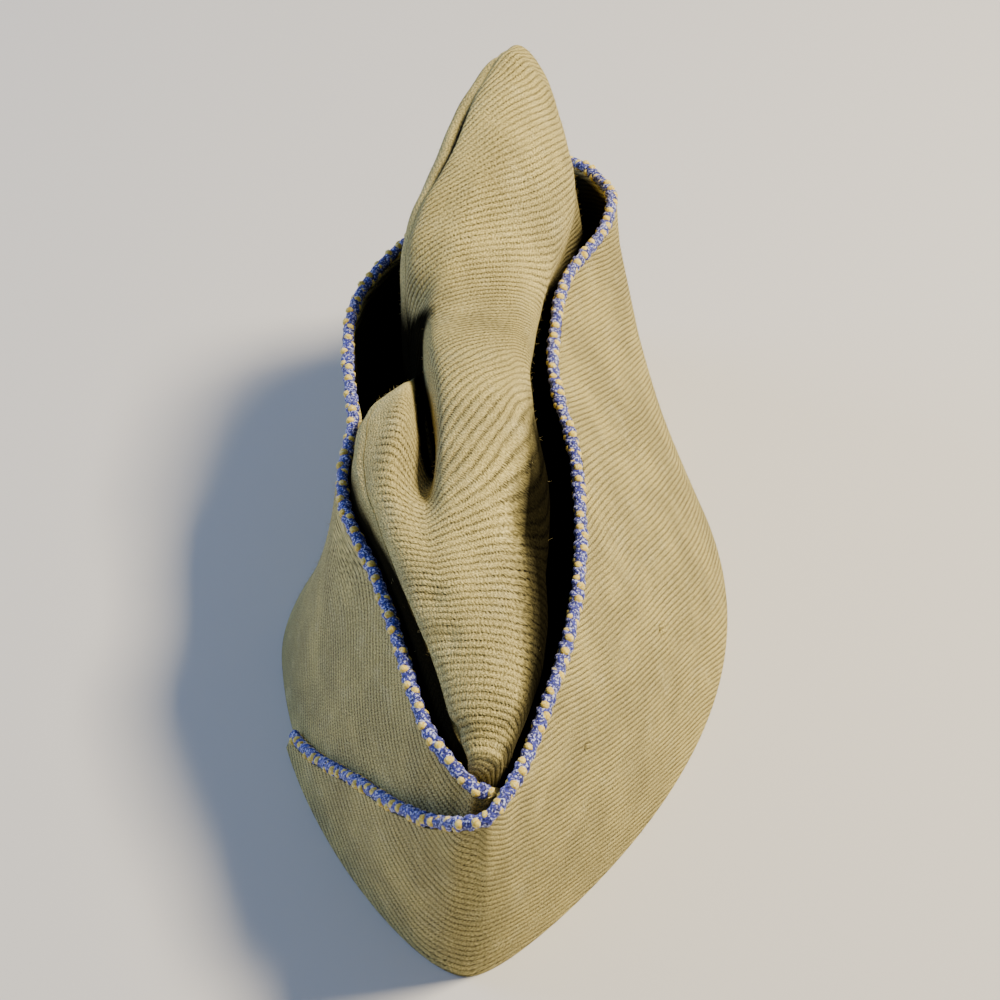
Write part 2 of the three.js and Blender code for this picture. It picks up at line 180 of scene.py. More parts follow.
CROWN_ROWS = Table(
    "angle y tuck_x roll_x roll_z seam_x seam_z fold_x fold_z valley_x valley_z ridge_x ridge_z"
    " shoulder_x shoulder_z flank_x wall",
    [
        (0, -113.6, 2.6, 1.3, 62, 0.6, 72.6, 0.8, 71.4, 1, 69.8, 1.2, 67.2, 1.5, 62, 3, 1.1),
        (9, -112, 0, -0.1, 70, 0.4, 75.8, 1.3, 77.1, 3, 77.8, 5, 77.1, 6.8, 73.8, 6.5, 1.1),
        (18.6, -109.2, -4, -2, 73.5, -1, 78, 0.8, 80, 3.2, 80.9, 6.2, 80.2, 9, 76.5, 6.5, 1.2),
        (29.3, -103, -10.5, -6, 78, -4.8, 81.5, -2.5, 84, 1, 86, 5.5, 86.2, 10.5, 83.5, 6, 1.6),
        (39.3, -91.5, -15, -10.6, 81.5, -9.2, 84.5, -6, 88, -1.5, 90, 4.5, 90.3, 11.2, 87, 5, 2),
        (49.3, -77, -17.5, -17, 85, -16.3, 88, -12.5, 91.5, -7, 93.3, 0.5, 93.7, 9.8, 90, 4, 2),
        (58.4, -62, -22.5, -23.8, 87.5, -23.3, 90.5, -19.5, 94, -13, 95, -6, 96, 6.8, 92.5, 3.5, 2),
        (65, -50, -28.5, -29.2, 89, -28.2, 92, -23, 95.5, -15.5, 94, -9, 98, 5.8, 94.5, 3, 2),
        (71.2, -38, -35, -34.3, 90, -32.2, 93, -25, 97.5, -16.5, 88.5, -11.5, 99.8, 6.3, 96, 2.5, 2),
        (77.3, -26, -37.5, -36, 91, -33.2, 95, -24, 99.3, -16.2, 81, -12.8, 101, 7, 97.5, 2.5, 2),
        (82.7, -15, -37, -35.3, 90, -32.8, 94.5, -24.5, 98.5, -17.8, 76, -14.3, 101.8, 8, 98.5, 2.5, 2),
        (87.6, -5, -33.5, -32.2, 86, -29.8, 91, -24.8, 94.5, -19.8, 75, -16.2, 102.5, 9, 99, 2.5, 1.6),
        (92, 4, -31, -28.8, 79, -26.8, 84.5, -24.2, 88, -21.6, 78, -18.4, 103, 9.6, 99.5, 2.5, 1.3),
        (95.8, 12, -29.5, -27.6, 73, -26.4, 78.5, -25.2, 85, -23.6, 94, -18.6, 104.5, 9.8, 99.5, 2.5, 1.3),
        (99.7, 20, -29.8, -29, 86, -27.8, 91.5, -26, 97, -23.2, 102, -17.3, 107.5, 10, 99, 2.5, 1.6),
        (103.7, 28, -31, -30, 97.5, -29, 102, -27, 106, -23, 109, -14, 111.5, 10.3, 99, 2.5, 2),
        (109.8, 40, -31, -30, 107, -28, 110.5, -25.5, 113.5, -20, 115, -10.5, 115.5, 10.6, 99, 3, 2),
        (116.1, 52, -29, -26.5, 113.5, -23, 117.5, -20.5, 119.5, -15, 120.5, -6, 119.5, 12, 99.5, 5, 2),
        (121.6, 62, -26.5, -23.5, 117, -19.5, 121, -17, 122.5, -12, 123.5, -4, 122.5, 14, 100.5, 8.5, 2),
        (128.8, 74, -23, -20.5, 120.5, -16.5, 124, -14, 126, -9.5, 127, -3, 125.5, 14.3, 103.5, 13.5, 2),
        (136.7, 86, -19, -16, 124, -12.3, 127.3, -10, 128.8, -6.5, 129.2, -1.8, 128, 11.5, 108, 19, 2),
        (144.3, 96, -14, -10.5, 126, -7.8, 129.3, -6.3, 130.3, -4.5, 130.7, -1, 129, 7.5, 114, 20, 2),
        (154.9, 106, -9.5, -8, 115, -5.5, 119.5, -4, 120.3, -2, 120.4, 0.5, 118.5, 6.5, 107, 15.5, 1.7),
        (164.7, 113.5, -5, -5.5, 92, -3.5, 98, -2.2, 99, -0.5, 99, 1.5, 98, 6, 89, 9, 1.3),
        (180, 118.5, 0.3, -0.6, 62, -2.2, 78, -1.95, 75.5, -1.65, 72.5, -1.3, 69, -0.8, 64, 1.3, 1.1),
    ],
)


@dataclass(frozen=True)
class CapForm:
    """The rules of the cap's shape, which curtains, crown and piping share.

    An angle runs along the rim from the front tip, and is negative on the -X side. A rise is the
    share of a curtain's full height.
    """

    rim_half_length: float = 124
    rim_half_width: tuple[float, float] = (67, 68)
    tip_roundness: tuple[float, float] = (0.44, 0.48)
    pointedness: tuple[float, float] = (2.5, 2.2)
    drawn_in: float = 0.24
    drawn_in_span: tuple[float, float] = (78, 116)
    middle: tuple[float, float, float] = (1.85, 0.6, 0)
    curtain_wall: float = 2.4
    layer_step: float = 3.1
    gap: float = 0.3
    cord_diameter: float = 3.8
    cord_inset: float = 0.9
    stand_off_end: float = 46
    layer_fade: tuple[float, float] = (100, 149)
    overlap: tuple[float, float] = (28, 54)
    tip_blend: float = 34
    right_belly: float = 5
    crown_ease: float = 2.2
    lean_factor: float = 1.15
    pull_share: float = 0.12
    lower_rises: tuple[float, ...] = (0, 0.2, 0.38)
    tuck_rise: float = 0.62
    rim_step: float = 1
    normal_step: float = 1.7
    rise_step: float = 0.03
    slant_step: float = 2.5

    def rim_point(self, degrees: Array) -> Array:
        """The rim's outer face.

        Args:
            degrees: signed angles.

        Returns:
            A point for each angle.
        """
        angle = np.radians(degrees)
        sine = np.sin(angle)
        left = sine < 0
        size = np.abs(sine)
        roundness = np.where(left, self.tip_roundness[1], self.tip_roundness[0])
        power = np.where(left, self.pointedness[1], self.pointedness[0])
        reach = roundness * size + (1 - roundness) * size**power
        drawn = np.where(left, self.drawn_in * ease(*self.drawn_in_span, self.from_tip(degrees)), 0)
        width = np.where(left, self.rim_half_width[1], self.rim_half_width[0])
        x = np.sign(sine) * width * reach * (1 - drawn)
        return np.stack([x, -self.rim_half_length * np.cos(angle), np.zeros_like(x)], axis=-1)

    @staticmethod
    def from_tip(degrees: Array) -> Array:
        """Angles past the back tip carry on along the other side."""
        turned = np.abs(degrees) % 360
        return np.where(turned > 180, 360 - turned, turned)

    def outward(self, degrees: Array) -> Array:
        """The rim's level outward direction."""
        along = self.rim_point(degrees + self.rim_step) - self.rim_point(degrees - self.rim_step)
        return unit(np.stack([along[..., 1], -along[..., 0], np.zeros_like(along[..., 0])], axis=-1))

    @staticmethod
    def leaning_wall(foot: Array, edge: Array, rise: Array, belly: Array, outward: Array) -> Array:
        """A leaning wall from foot to edge, bellied outwards."""
        rise = np.asarray(rise, float)[..., None]
        return foot + (edge - foot) * rise + outward * np.asarray(belly)[..., None] * np.sin(math.pi * rise)

    def right_wall(self, degrees: Array, rise: Array) -> Array:
        """The +X curtain's wall, front to back.

        Args:
            degrees: angles from the front tip.
            rise: shares of the wall's height.

        Returns:
            A point for each angle and rise.
        """
        belly = self.right_belly * np.sin(np.radians(degrees)) ** 2
        edge = RIGHT_EDGE.point(degrees)
        return self.leaning_wall(self.rim_point(degrees), edge, rise, belly, self.outward(degrees))

    def step_between(self, degrees: Array) -> Array:
        """How far the +X curtain lies outside the -X one, until both meet at the back."""
        return self.layer_step * (1 - ease(*self.layer_fade, self.from_tip(degrees)))

    def left_wall(self, degrees: Array, rise: Array) -> Array:
        """The -X curtain's wall, front to back, with its hidden end at negative angles.

        Args:
            degrees: angles from the front tip.
            rise: shares of the wall's height.

        Returns:
            A point for each angle and rise.
        """
        outward = self.outward(-degrees)
        foot = self.rim_point(-degrees) - outward * self.step_between(degrees)[..., None]
        belly = LEFT_BELLY.read(degrees)["depth"]
        return self.leaning_wall(foot, LEFT_EDGE.point(degrees), rise, belly, outward)

    @property
    def front_stand_off(self) -> float:
        """How much further apart the curtains stand at the front fold's edge than at its rim."""
        gap = LEFT_EDGE.point(np.array(0.0))[1] - RIGHT_EDGE.point(np.array(0.0))[1]
        return float(gap) - self.layer_step

    def outer_layer(self, degrees: Array, rise: Array) -> Array:
        """The outer cloth: the +X curtain and its flap.

        Args:
            degrees: signed angles.
            rise: shares of the wall's height.

        Returns:
            A point for each angle and rise.
        """
        degrees, rise = np.broadcast_arrays(np.asarray(degrees, float), np.asarray(rise, float))
        turned = np.where(degrees > 180, degrees - 360, degrees)
        right = self.right_wall(np.maximum(turned, 0), rise)
        flap = np.maximum(-turned, 0)
        standing = self.front_stand_off * rise * (1 - ease(0, self.stand_off_end, flap))
        step = (self.step_between(flap) + standing)[..., None]
        left = self.left_wall(flap, rise) + self.outward(turned) * step
        return np.where(turned[..., None] >= 0, right, left)

    def inner_layer(self, degrees: Array, rise: Array) -> Array:
        """The inner cloth: the -X curtain.

        Args:
            degrees: signed angles.
            rise: shares of the wall's height.

        Returns:
            A point for each angle and rise.
        """
        degrees, rise = np.broadcast_arrays(np.asarray(degrees, float), np.asarray(rise, float))
        past = (degrees < -180)[..., None]
        left = self.left_wall(-np.maximum(degrees, -180), rise)
        return np.where(past, self.right_wall(np.minimum(degrees + 360, 180), rise), left)

    def normal(self, layer: Callable[[Array, Array], Array], degrees: Array, rise: Array) -> Array:
        """Outward normal of a layer, level at the rim.

        Args:
            layer: the layer's rule.
            degrees: signed angles.
            rise: shares of the wall's height.

        Returns:
            A unit vector for each angle and rise.
        """
        along = layer(degrees + self.normal_step, rise) - layer(degrees - self.normal_step, rise)
        above = layer(degrees, np.minimum(rise + self.rise_step, 1))
        below = layer(degrees, np.maximum(rise - self.rise_step, 0))
        found = np.cross(along, above - below)
        found[..., 2] = np.where(np.broadcast_to(rise, found.shape[:-1]) <= 0, 0, found[..., 2])
        return unit(found)

    def inward(self, outward: Array, degrees: Array) -> Array:
        """Direction in which a wall is set inwards: along the cap's length towards the tips.

        Args:
            outward: the wall's outward directions.
            degrees: angles from the front tip.

        Returns:
            A unit vector for each angle.
        """
        tip = np.zeros_like(outward)
        tip[..., 1] = np.where(degrees < 90, 1, -1)
        share = ease(0, self.tip_blend, np.minimum(degrees, 180 - degrees))[..., None]
        return unit(tip + (-outward - tip) * share)

    def lower_crown(self, degrees: Array, side: Side, rise: float) -> Array:
        """The crown's lower wall, which follows the inmost cloth of the curtain.

        Args:
            degrees: angles from the front tip.
            side: the side of the cap.
            rise: share of the curtain's height.

        Returns:
            A point for each angle.
        """
        outward = self.outward(side.value * degrees)
        inward = self.inward(outward, degrees)
        doubled = 1 - ease(*self.overlap, degrees) if side is Side.RIGHT else np.zeros_like(degrees)
        layers = doubled * (self.layer_step + self.front_stand_off * rise)
        inset = (self.curtain_wall + self.gap) * self.lean_factor + self.crown_ease * rise**2 + layers
        wall = self.right_wall if side is Side.RIGHT else self.left_wall
        base = wall(degrees, np.full_like(degrees, rise))
        return base - inward * inset[..., None] / dot(inward, outward)

    def crown_knots(self, degrees: Array, side: Side) -> Array:
        """The points that a crown panel's sections run through, from foot to seam.

        Args:
            degrees: angles from the front tip.
            side: the side of the cap.

        Returns:
            The points, angles by knots by 3.
        """
        row = CROWN_ROWS.read(degrees)
        tuck = self.lower_crown(degrees, side, self.tuck_rise)
        if side is Side.RIGHT:
            pulled = np.minimum(tuck[..., 0], row["flank_x"])
        else:
            pulled = np.maximum(tuck[..., 0], row["tuck_x"])
        pull = (pulled - tuck[..., 0]) * self.pull_share
        knots = []
        for rise in self.lower_rises:
            point = self.lower_crown(degrees, side, rise)
            point[..., 0] += pull * rise / self.lower_rises[-1]
            knots.append(point)
        tuck[..., 0] = pulled
        knots.append(tuck)
        right = ("shoulder", "ridge", "valley", "fold", "seam")
        for name in right if side is Side.RIGHT else ("roll", "seam"):
            knots.append(np.stack([row[f"{name}_x"], row["y"], row[f"{name}_z"]], axis=-1))
        return np.stack(knots, axis=1)


def smooth_sections(knots: Array, steps: int) -> Array:
    """Centripetal Catmull-Rom curves through rows of knots.

    Args:
        knots: stations by knots by 3.
        steps: steps in each span between two knots.

    Returns:
        Points, stations by (spans * steps + 1) by 3.
    """
    first = 2 * knots[:, :1] - knots[:, 1:2]
    last = 2 * knots[:, -1:] - knots[:, -2:-1]
    all_knots = np.concatenate([first, knots, last], axis=1)
    parts = []
    for k in range(1, all_knots.shape[1] - 2):
        p0, p1, p2, p3 = (all_knots[:, k + step] for step in (-1, 0, 1, 2))
        d0, d1, d2 = (np.sqrt(np.linalg.norm(b - a, axis=-1, keepdims=True)) for a, b in
                      ((p0, p1), (p1, p2), (p2, p3)))
        start = ((p1 - p0) / d0 - (p2 - p0) / (d0 + d1) + (p2 - p1) / d1) * d1
        end = ((p2 - p1) / d1 - (p3 - p1) / (d1 + d2) + (p3 - p2) / d2) * d1
        t = (np.arange(steps) / steps)[None, :, None]
        a, b, s, e = (value[:, None] for value in (p1, p2, start, end))
        parts.append(a + s * t + (3 * (b - a) - 2 * s - e) * t**2 + (2 * (a - b) + s + e) * t**3)
    parts.append(knots[:, -1:])
    return np.concatenate(parts, axis=1)


@dataclass
class KnitField:
    """How the ribs run over a panel.

    The table gives, for each angle, the ribs' direction in the cloth below and above a line
    along it, as an angle from the line, and their pitch.
    """

    directions: Table

    def lay(self, degrees: Array, along: Array, height: Array) -> Array:
        """Knit coordinates of a grid.

        Args:
            degrees: the stations' angles.
            along: each station's length along the line.
            height: height of each grid point over the line.

        Returns:
            For each point, its place across the ribs in rib pitches, and along them in mm.
        """
        row = self.directions.read(degrees)
        low, high, pitch = np.radians(row["low"]), np.radians(row["high"]), row["pitch"]

        def run(rate: Array) -> Array:
            """A rate's sum from the first station on."""
            middle = (rate[1:] + rate[:-1]) / 2
            return np.concatenate([[0], np.cumsum(middle * np.diff(along))])[:, None]

        below, above = np.minimum(height, 0), np.maximum(height, 0)
        across = run(-np.sin(low) / pitch)
        across = across + (np.cos(low) / pitch)[:, None] * below + (np.cos(high) / pitch)[:, None] * above
        course = run(np.cos(low)) + np.sin(low)[:, None] * below + np.sin(high)[:, None] * above
        return np.stack([across, course], axis=-1)


@dataclass
class ClothSheet:
    """A knitted wall: its outer and inner grids, and what the cloth carries at each point."""

    name: str
    outer: Array
    inner: Array
    knit: Array
    plain: Array
    crease_shade: Array
    # Painted shade on the outer and the inner face: the cloth is darkened where little light reaches, deep in
    # the gaps.
    painted_gap_shade: Array
    gap_shade_inside: Array
    fuzz_on_ribs: float = 0.6
    sharp_angle: float = 60

    def mesh(self) -> bpy.types.Mesh:
        """The closed wall as a mesh in metres."""
        rows, columns = self.outer.shape[:2]
        points = np.concatenate([self.outer.reshape(-1, 3), self.inner.reshape(-1, 3)])
        number = np.arange(2 * rows * columns).reshape(2, rows, columns)

        def band(a: Array, b: Array) -> Array:
            """Four-cornered faces between two lines of corners."""
            return np.stack([a[:-1], b[:-1], b[1:], a[1:]], axis=-1).reshape(-1, 4)

        out, back = number
        quads = np.concatenate([
            band(out[:, :-1], out[:, 1:])[:, [0, 3, 2, 1]], band(back[:, :-1], back[:, 1:]),
            band(out[:, 0], back[:, 0]), band(back[:, -1], out[:, -1]),
            band(back[0], out[0]), band(out[-1], back[-1]),
        ])
        corners = points[quads]
        volume = np.einsum("ij,ij->", corners[:, 0], np.cross(corners[:, 1], corners[:, 2]))
        volume += np.einsum("ij,ij->", corners[:, 0], np.cross(corners[:, 2], corners[:, 3]))
        if volume < 0:
            quads = quads[:, ::-1]
        mesh = bpy.data.meshes.new(self.name)
        mesh.from_pydata((points * MM).tolist(), [], quads.tolist())
        both = np.concatenate([self.knit.reshape(-1, 2)] * 2)
        knit = np.column_stack([both, np.zeros(len(both))])
        mesh.attributes.new("knit", "FLOAT_VECTOR", "POINT").data.foreach_set("vector", knit.ravel())
        hidden = np.zeros(rows * columns)
        # No loose fibres where the cloth is painted dark as shade.
        fuzz = (1 - self.painted_gap_shade) * (self.fuzz_on_ribs + (1 - self.fuzz_on_ribs) * self.plain)
        for name, values, inside in (("plain", self.plain, self.plain.ravel()),
                                     ("crease_shade", self.crease_shade, hidden),
                                     ("painted_gap_shade", self.painted_gap_shade, self.gap_shade_inside.ravel()),
                                     ("fuzz", fuzz, hidden)):
            data = np.concatenate([values.ravel(), inside])
            mesh.attributes.new(name, "FLOAT", "POINT").data.foreach_set("value", data)
        mesh.shade_smooth()
        mesh.set_sharp_from_angle(angle=math.radians(self.sharp_angle))
        mesh.update()
        return mesh


def linear(colour: str) -> tuple[float, float, float, float]:
    """Turns a colour to linear.

    Args:
        colour: sRGB hex colour.

    Returns:
        Linear RGBA.
    """
    values = [int(colour[k:k + 2], 16) / 255 for k in (1, 3, 5)]
    low, high = 12.92, 1.055
    return (*(v / low if v <= 0.04045 else ((v + 0.055) / high) ** 2.4 for v in values), 1.0)


def add(tree: bpy.types.NodeTree, kind: str, *values: object, inputs: dict | None = None,
        **settings: object) -> bpy.types.Node:
    """Adds a node with its settings, values and links.

    Args:
        tree: the node tree.
        kind: the node's type name.
        values: for the node's live inputs, in order: a value, or the socket or node to link from.
        inputs: the same for inputs by name.
        settings: the node's own properties.

    Returns:
        The new node.
    """
    node = tree.nodes.new(kind)
    for name, value in settings.items():
        setattr(node, name, value)
    wanted = list(zip([socket for socket in node.inputs if socket.enabled], values))
    wanted += [(node.inputs[name], value) for name, value in (inputs or {}).items()]
    for socket, value in wanted:
        if isinstance(value, bpy.types.Node):
            value = next(found for found in value.outputs if found.enabled)
        if isinstance(value, bpy.types.NodeSocket):
            tree.links.new(value, socket)
        else:
            socket.default_value = value
    return node


def blank_material(name: str) -> tuple[bpy.types.Material, AddNode]:
    """Makes a material without nodes.

    Args:
        name: the material's name.

    Returns:
        The material, and what adds a node to it.
    """
    material = bpy.data.materials.new(name)
    material.use_nodes = True
    material.node_tree.nodes.clear()
    return material, partial(add, material.node_tree)


def blank_group(name: str, sizes: Sequence[str], seeded: bool = False
                ) -> tuple[bpy.types.NodeTree, AddNode, bpy.types.bpy_prop_collection]:
    """Makes a geometry tree with its named inputs.

    Args:
        name: the tree's name.
        sizes: the names of its sizes.
        seeded: whether it takes a seed too.

    Returns:
        The tree, what adds a node to it, and the sockets of its inputs.
    """
    tree = bpy.data.node_groups.new(name, "GeometryNodeTree")
    sockets = {"Geometry": "NodeSocketGeometry", **dict.fromkeys(sizes, "NodeSocketFloat")}
    if seeded:
        sockets["Seed"] = "NodeSocketInt"
    for label, kind in sockets.items():
        tree.interface.new_socket(label, in_out="INPUT", socket_type=kind)
    tree.interface.new_socket("Geometry", in_out="OUTPUT", socket_type="NodeSocketGeometry")
    return tree, partial(add, tree), add(tree, "NodeGroupInput").outputs


MATH, VECTOR, NOISE, MIX = "ShaderNodeMath", "ShaderNodeVectorMath", "ShaderNodeTexNoise", "ShaderNodeMix"
STEP, COMBINE, PRINCIPLED = "ShaderNodeMapRange", "ShaderNodeCombineXYZ", "ShaderNodeBsdfPrincipled"
SMOOTH = {"interpolation_type": "SMOOTHSTEP"}
COLOURS = {"data_type": "RGBA"}
Ramp = tuple[float, ...]
Grain = tuple[float, float, float]


@dataclass(frozen=True)
class KnitWool:
    """Rib-knit wool: ribs parted by thin grooves, darkened as painted shade, in which single stitches
    show, all under a dull speckled fuzz that takes the gloss away and lightens the edges. The seam's
    slit, small holes and deep gaps are painted dark as shade too.

    A ramp goes softly, while a value runs between its first two numbers, from its third to its
    fourth (0 to 1 if left out). A grain is a noise's size in mm, its detail and its roughness. The
    ribs' pitch comes with the cloth, and a stitch is 0.9 mm long. The speckle stands for tufts of
    fibre, and is drawn coarser than single fibres, which would not show.
    """

    name: str = "rib_knit_wool"
    rib: str = "#d2c077"
    rib_worn: str = "#e0d292"
    rib_shade: str = "#b8a96c"
    # Colour of the painted shade in the grooves.
    groove: str = "#140f07"
    # Colour of the painted shade in the seam's slit and round the nips.
    crease_shade: str = "#2a2414"
    # Colour of the painted shade deep in the gaps, where no light reaches.
    painted_gap_shade: str = "#020202"
    sheen: str = "#d8cba4"
    groove_ramp: Ramp = (0.05, 0.32, 1, 0)
    dash_ramp: Ramp = (0.04, 0.26, 0.32, 1)
    gap_ramp: Ramp = (0.35, 0.6, 1, 0.55)
    strength_ramp: Ramp = (0.28, 0.6, 0.62, 1)
    shade_ramp: Ramp = (0.35, 0.68)
    worn_ramp: Ramp = (0.5, 0.75, 0, 0.45)
    speckle_ramp: Ramp = (0.32, 0.68, 0.44, 1.38)
    knot_ramp: Ramp = (0, 0.35)
    patch_grain: Grain = (22, 3, 0.5)
    jitter_grain: Grain = (1.4, 1, 0.5)
    stitch_grain: Grain = (2.5, 1, 0.5)
    strength_grain: Grain = (9, 3, 0.5)
    shade_grain: Grain = (22, 3, 0.6)
    worn_grain: Grain = (7, 4, 0.65)
    lump_grain: Grain = (3.2, 2, 0.5)
    stitch: float = 0.9
    stitch_wander: float = 1.4
    stagger: float = 0.618
    mean_pitch: float = 1.9
    wander: float = 0.5
    jitter: float = 0.3
    speckle_across: float = 0.42
    speckle_along: float = 0.5
    speckle_noise: tuple[float, float] = (2, 0.6)
    # How dark the grooves' painted shade goes.
    groove_shade_share: float = 0.95
    rib_roundness: float = 0.55
    rib_depth: float = 0.42
    stitch_depth: float = 0.1
    speckle_depth: float = 0.28
    lump_depth: float = 0.12
    roughness: float = 0.95
    gloss: float = 0.12
    sheen_weight: float = 0.08
    sheen_roughness: float = 0.55

    def material(self) -> bpy.types.Material:
        """The wool as a node material on the cloth's knit coordinates."""
        material, node = blank_material(self.name)
        place = node("ShaderNodeTexCoord").outputs["Object"]
        patch, jitter, loose, strength, shade, worn, lumps = (
            node(NOISE, place, 1 / (size * MM), detail, rough) for size, detail, rough in (
                self.patch_grain, self.jitter_grain, self.stitch_grain, self.strength_grain,
                self.shade_grain, self.worn_grain, self.lump_grain))
        knit, plain, crease_shade, painted_gap_shade = (node("ShaderNodeAttribute", attribute_name=name)
                                       for name in ("knit", "plain", "crease_shade", "painted_gap_shade"))
        plain, crease_shade, painted_gap_shade = (carrier.outputs["Fac"] for carrier in (plain, crease_shade, painted_gap_shade))
        lie = node("ShaderNodeSeparateXYZ", knit.outputs["Vector"])
        across = lie.outputs["X"]
        for sway, reach in ((patch, self.wander), (jitter, self.jitter)):
            sway = node(MATH, node(MATH, sway, 0.5, operation="SUBTRACT"), reach, operation="MULTIPLY")
            across = node(MATH, across, sway, operation="ADD")

        from_groove, from_stitch, speckle = self.pattern(node, across, lie.outputs["Y"], loose)
        groove, dash, gap, strength = (node(STEP, value, *ramp, **SMOOTH) for value, ramp in (
            (from_groove, self.groove_ramp), (from_stitch, self.dash_ramp), (speckle, self.gap_ramp),
            (strength, self.strength_ramp)))
        strength = node(MATH, strength, node(MATH, 1.0, plain, operation="SUBTRACT"), operation="MULTIPLY")
        # Painted shade: the grooves and the gaps between stitches are darkened in colour.
        groove_shade_mask = groove
        for share in (dash, gap, strength, self.groove_shade_share):
            groove_shade_mask = node(MATH, groove_shade_mask, share, operation="MULTIPLY")

        wool = linear(self.rib_shade)
        for share, colour in ((node(STEP, shade, *self.shade_ramp, **SMOOTH), self.rib),
                              (node(STEP, worn, *self.worn_ramp, **SMOOTH), self.rib_worn)):
            wool = node(MIX, share, wool, linear(colour), **COLOURS)
        speckled = node(STEP, speckle, *self.speckle_ramp, **SMOOTH)
        wool = node(MIX, 1.0, wool, speckled, blend_type="MULTIPLY", **COLOURS)
        # Painted shade: the grooves, the seam's slit and nips, and the deep gaps are darkened in colour.
        for share, colour in ((groove_shade_mask, self.groove), (crease_shade, self.crease_shade), (painted_gap_shade, self.painted_gap_shade)):
            wool = node(MIX, share, wool, linear(colour), **COLOURS)

        # Gloss and sheen are taken away where the cloth is painted dark as shade.
        lit = node(MATH, 1.0, painted_gap_shade, operation="SUBTRACT")
        surface = node(PRINCIPLED, inputs={
            "Base Color": wool, "Roughness": self.roughness,
            "Normal": self.relief(node, from_groove, from_stitch, speckle, strength, lumps),
            "Specular IOR Level": node(MATH, lit, self.gloss, operation="MULTIPLY"),
            "Sheen Weight": node(MATH, lit, self.sheen_weight, operation="MULTIPLY"),
            "Sheen Roughness": self.sheen_roughness, "Sheen Tint": linear(self.sheen)})
        node("ShaderNodeOutputMaterial", surface)
        return material

    def pattern(self, node: AddNode, across: bpy.types.Node, course: bpy.types.NodeSocket,
                loose: bpy.types.Node) -> tuple[bpy.types.Node, ...]:
        """The ribs and their stitches.

        Args:
            node: adds a node to the material.
            across: place across the ribs, in pitches.
            course: place along the ribs, in mm.
            loose: the noise that makes the stitches uneven.

        Returns:
            The distance from the nearest groove and from the nearest stitch's end, both as shares of
            a whole one, and the speckle.
        """
        rib_number = node(MATH, node(MATH, across, 0.5, operation="ADD"), operation="FLOOR")
        stagger = node(MATH, node(MATH, rib_number, self.stagger, operation="MULTIPLY"), operation="FRACT")
        stagger = node(MATH, stagger, self.stitch, operation="MULTIPLY")
        run = node(MATH, node(MATH, course, stagger, operation="ADD"), self.stitch, operation="DIVIDE")
        loose = node(MATH, loose, self.stitch_wander, operation="MULTIPLY")
        run = node(MATH, run, loose, operation="ADD")
        from_groove, from_stitch = (node(MATH, value, 0.5, operation="PINGPONG") for value in (across, run))
        place = node(COMBINE, node(MATH, across, self.mean_pitch / self.speckle_across, operation="MULTIPLY"),
                     node(MATH, course, self.speckle_along, operation="DIVIDE"))
        return from_groove, from_stitch, node(NOISE, place, 1.0, *self.speckle_noise)

    def relief(self, node: AddNode, from_groove: bpy.types.Node, from_stitch: bpy.types.Node,
               speckle: bpy.types.Node, strength: bpy.types.Node, lumps: bpy.types.Node) -> bpy.types.Node:
        """The knit's fine relief.

        Args:
            node: adds a node to the material.
            from_groove: distance from the nearest groove, as a share of a rib.
            from_stitch: distance from the nearest stitch's end, as a share of a stitch.
            speckle: the tufts of fibre.
            strength: how clearly the ribs stand out.
            lumps: the cloth's unevenness.

        Returns:
            The bumped normal.
        """
        rib = node(MATH, from_groove, 2.0, operation="MULTIPLY")
        rib = node(MATH, rib, self.rib_roundness, operation="POWER")
        height = node(MATH, node(MATH, rib, strength, operation="MULTIPLY"), self.rib_depth,
                      operation="MULTIPLY")
        knot = node(STEP, from_stitch, *self.knot_ramp, **SMOOTH)
        for part, depth in ((knot, self.stitch_depth), (speckle, self.speckle_depth),
                            (lumps, self.lump_depth)):
            height = node(MATH, height, node(MATH, part, depth, operation="MULTIPLY"), operation="ADD")
        return node("ShaderNodeBump", inputs={"Height": height, "Strength": 1.0, "Distance": MM})


@dataclass(frozen=True)
class LooseFibre:
    """Fine wool fibres that stand off the knit: dull, a little paler than the cloth, each one its
    own shade."""

    name: str = "loose_wool_fibre"
    dark: str = "#a08c50"
    pale: str = "#dccb8e"
    grain: float = 1.1
    ramp: Ramp = (0.35, 0.65)
    roughness: float = 0.9
    gloss: float = 0.1

    def material(self) -> bpy.types.Material:
        """The fibres as a node material."""
        material, node = blank_material(self.name)
        shade = node(NOISE, node("ShaderNodeTexCoord").outputs["Object"], 1 / (self.grain * MM))
        share = node(STEP, shade, *self.ramp, **SMOOTH)
        colour = node(MIX, share, linear(self.dark), linear(self.pale), **COLOURS)
        surface = node(PRINCIPLED, inputs={
            "Base Color": colour, "Roughness": self.roughness, "Specular IOR Level": self.gloss})
        node("ShaderNodeOutputMaterial", surface)
        return material


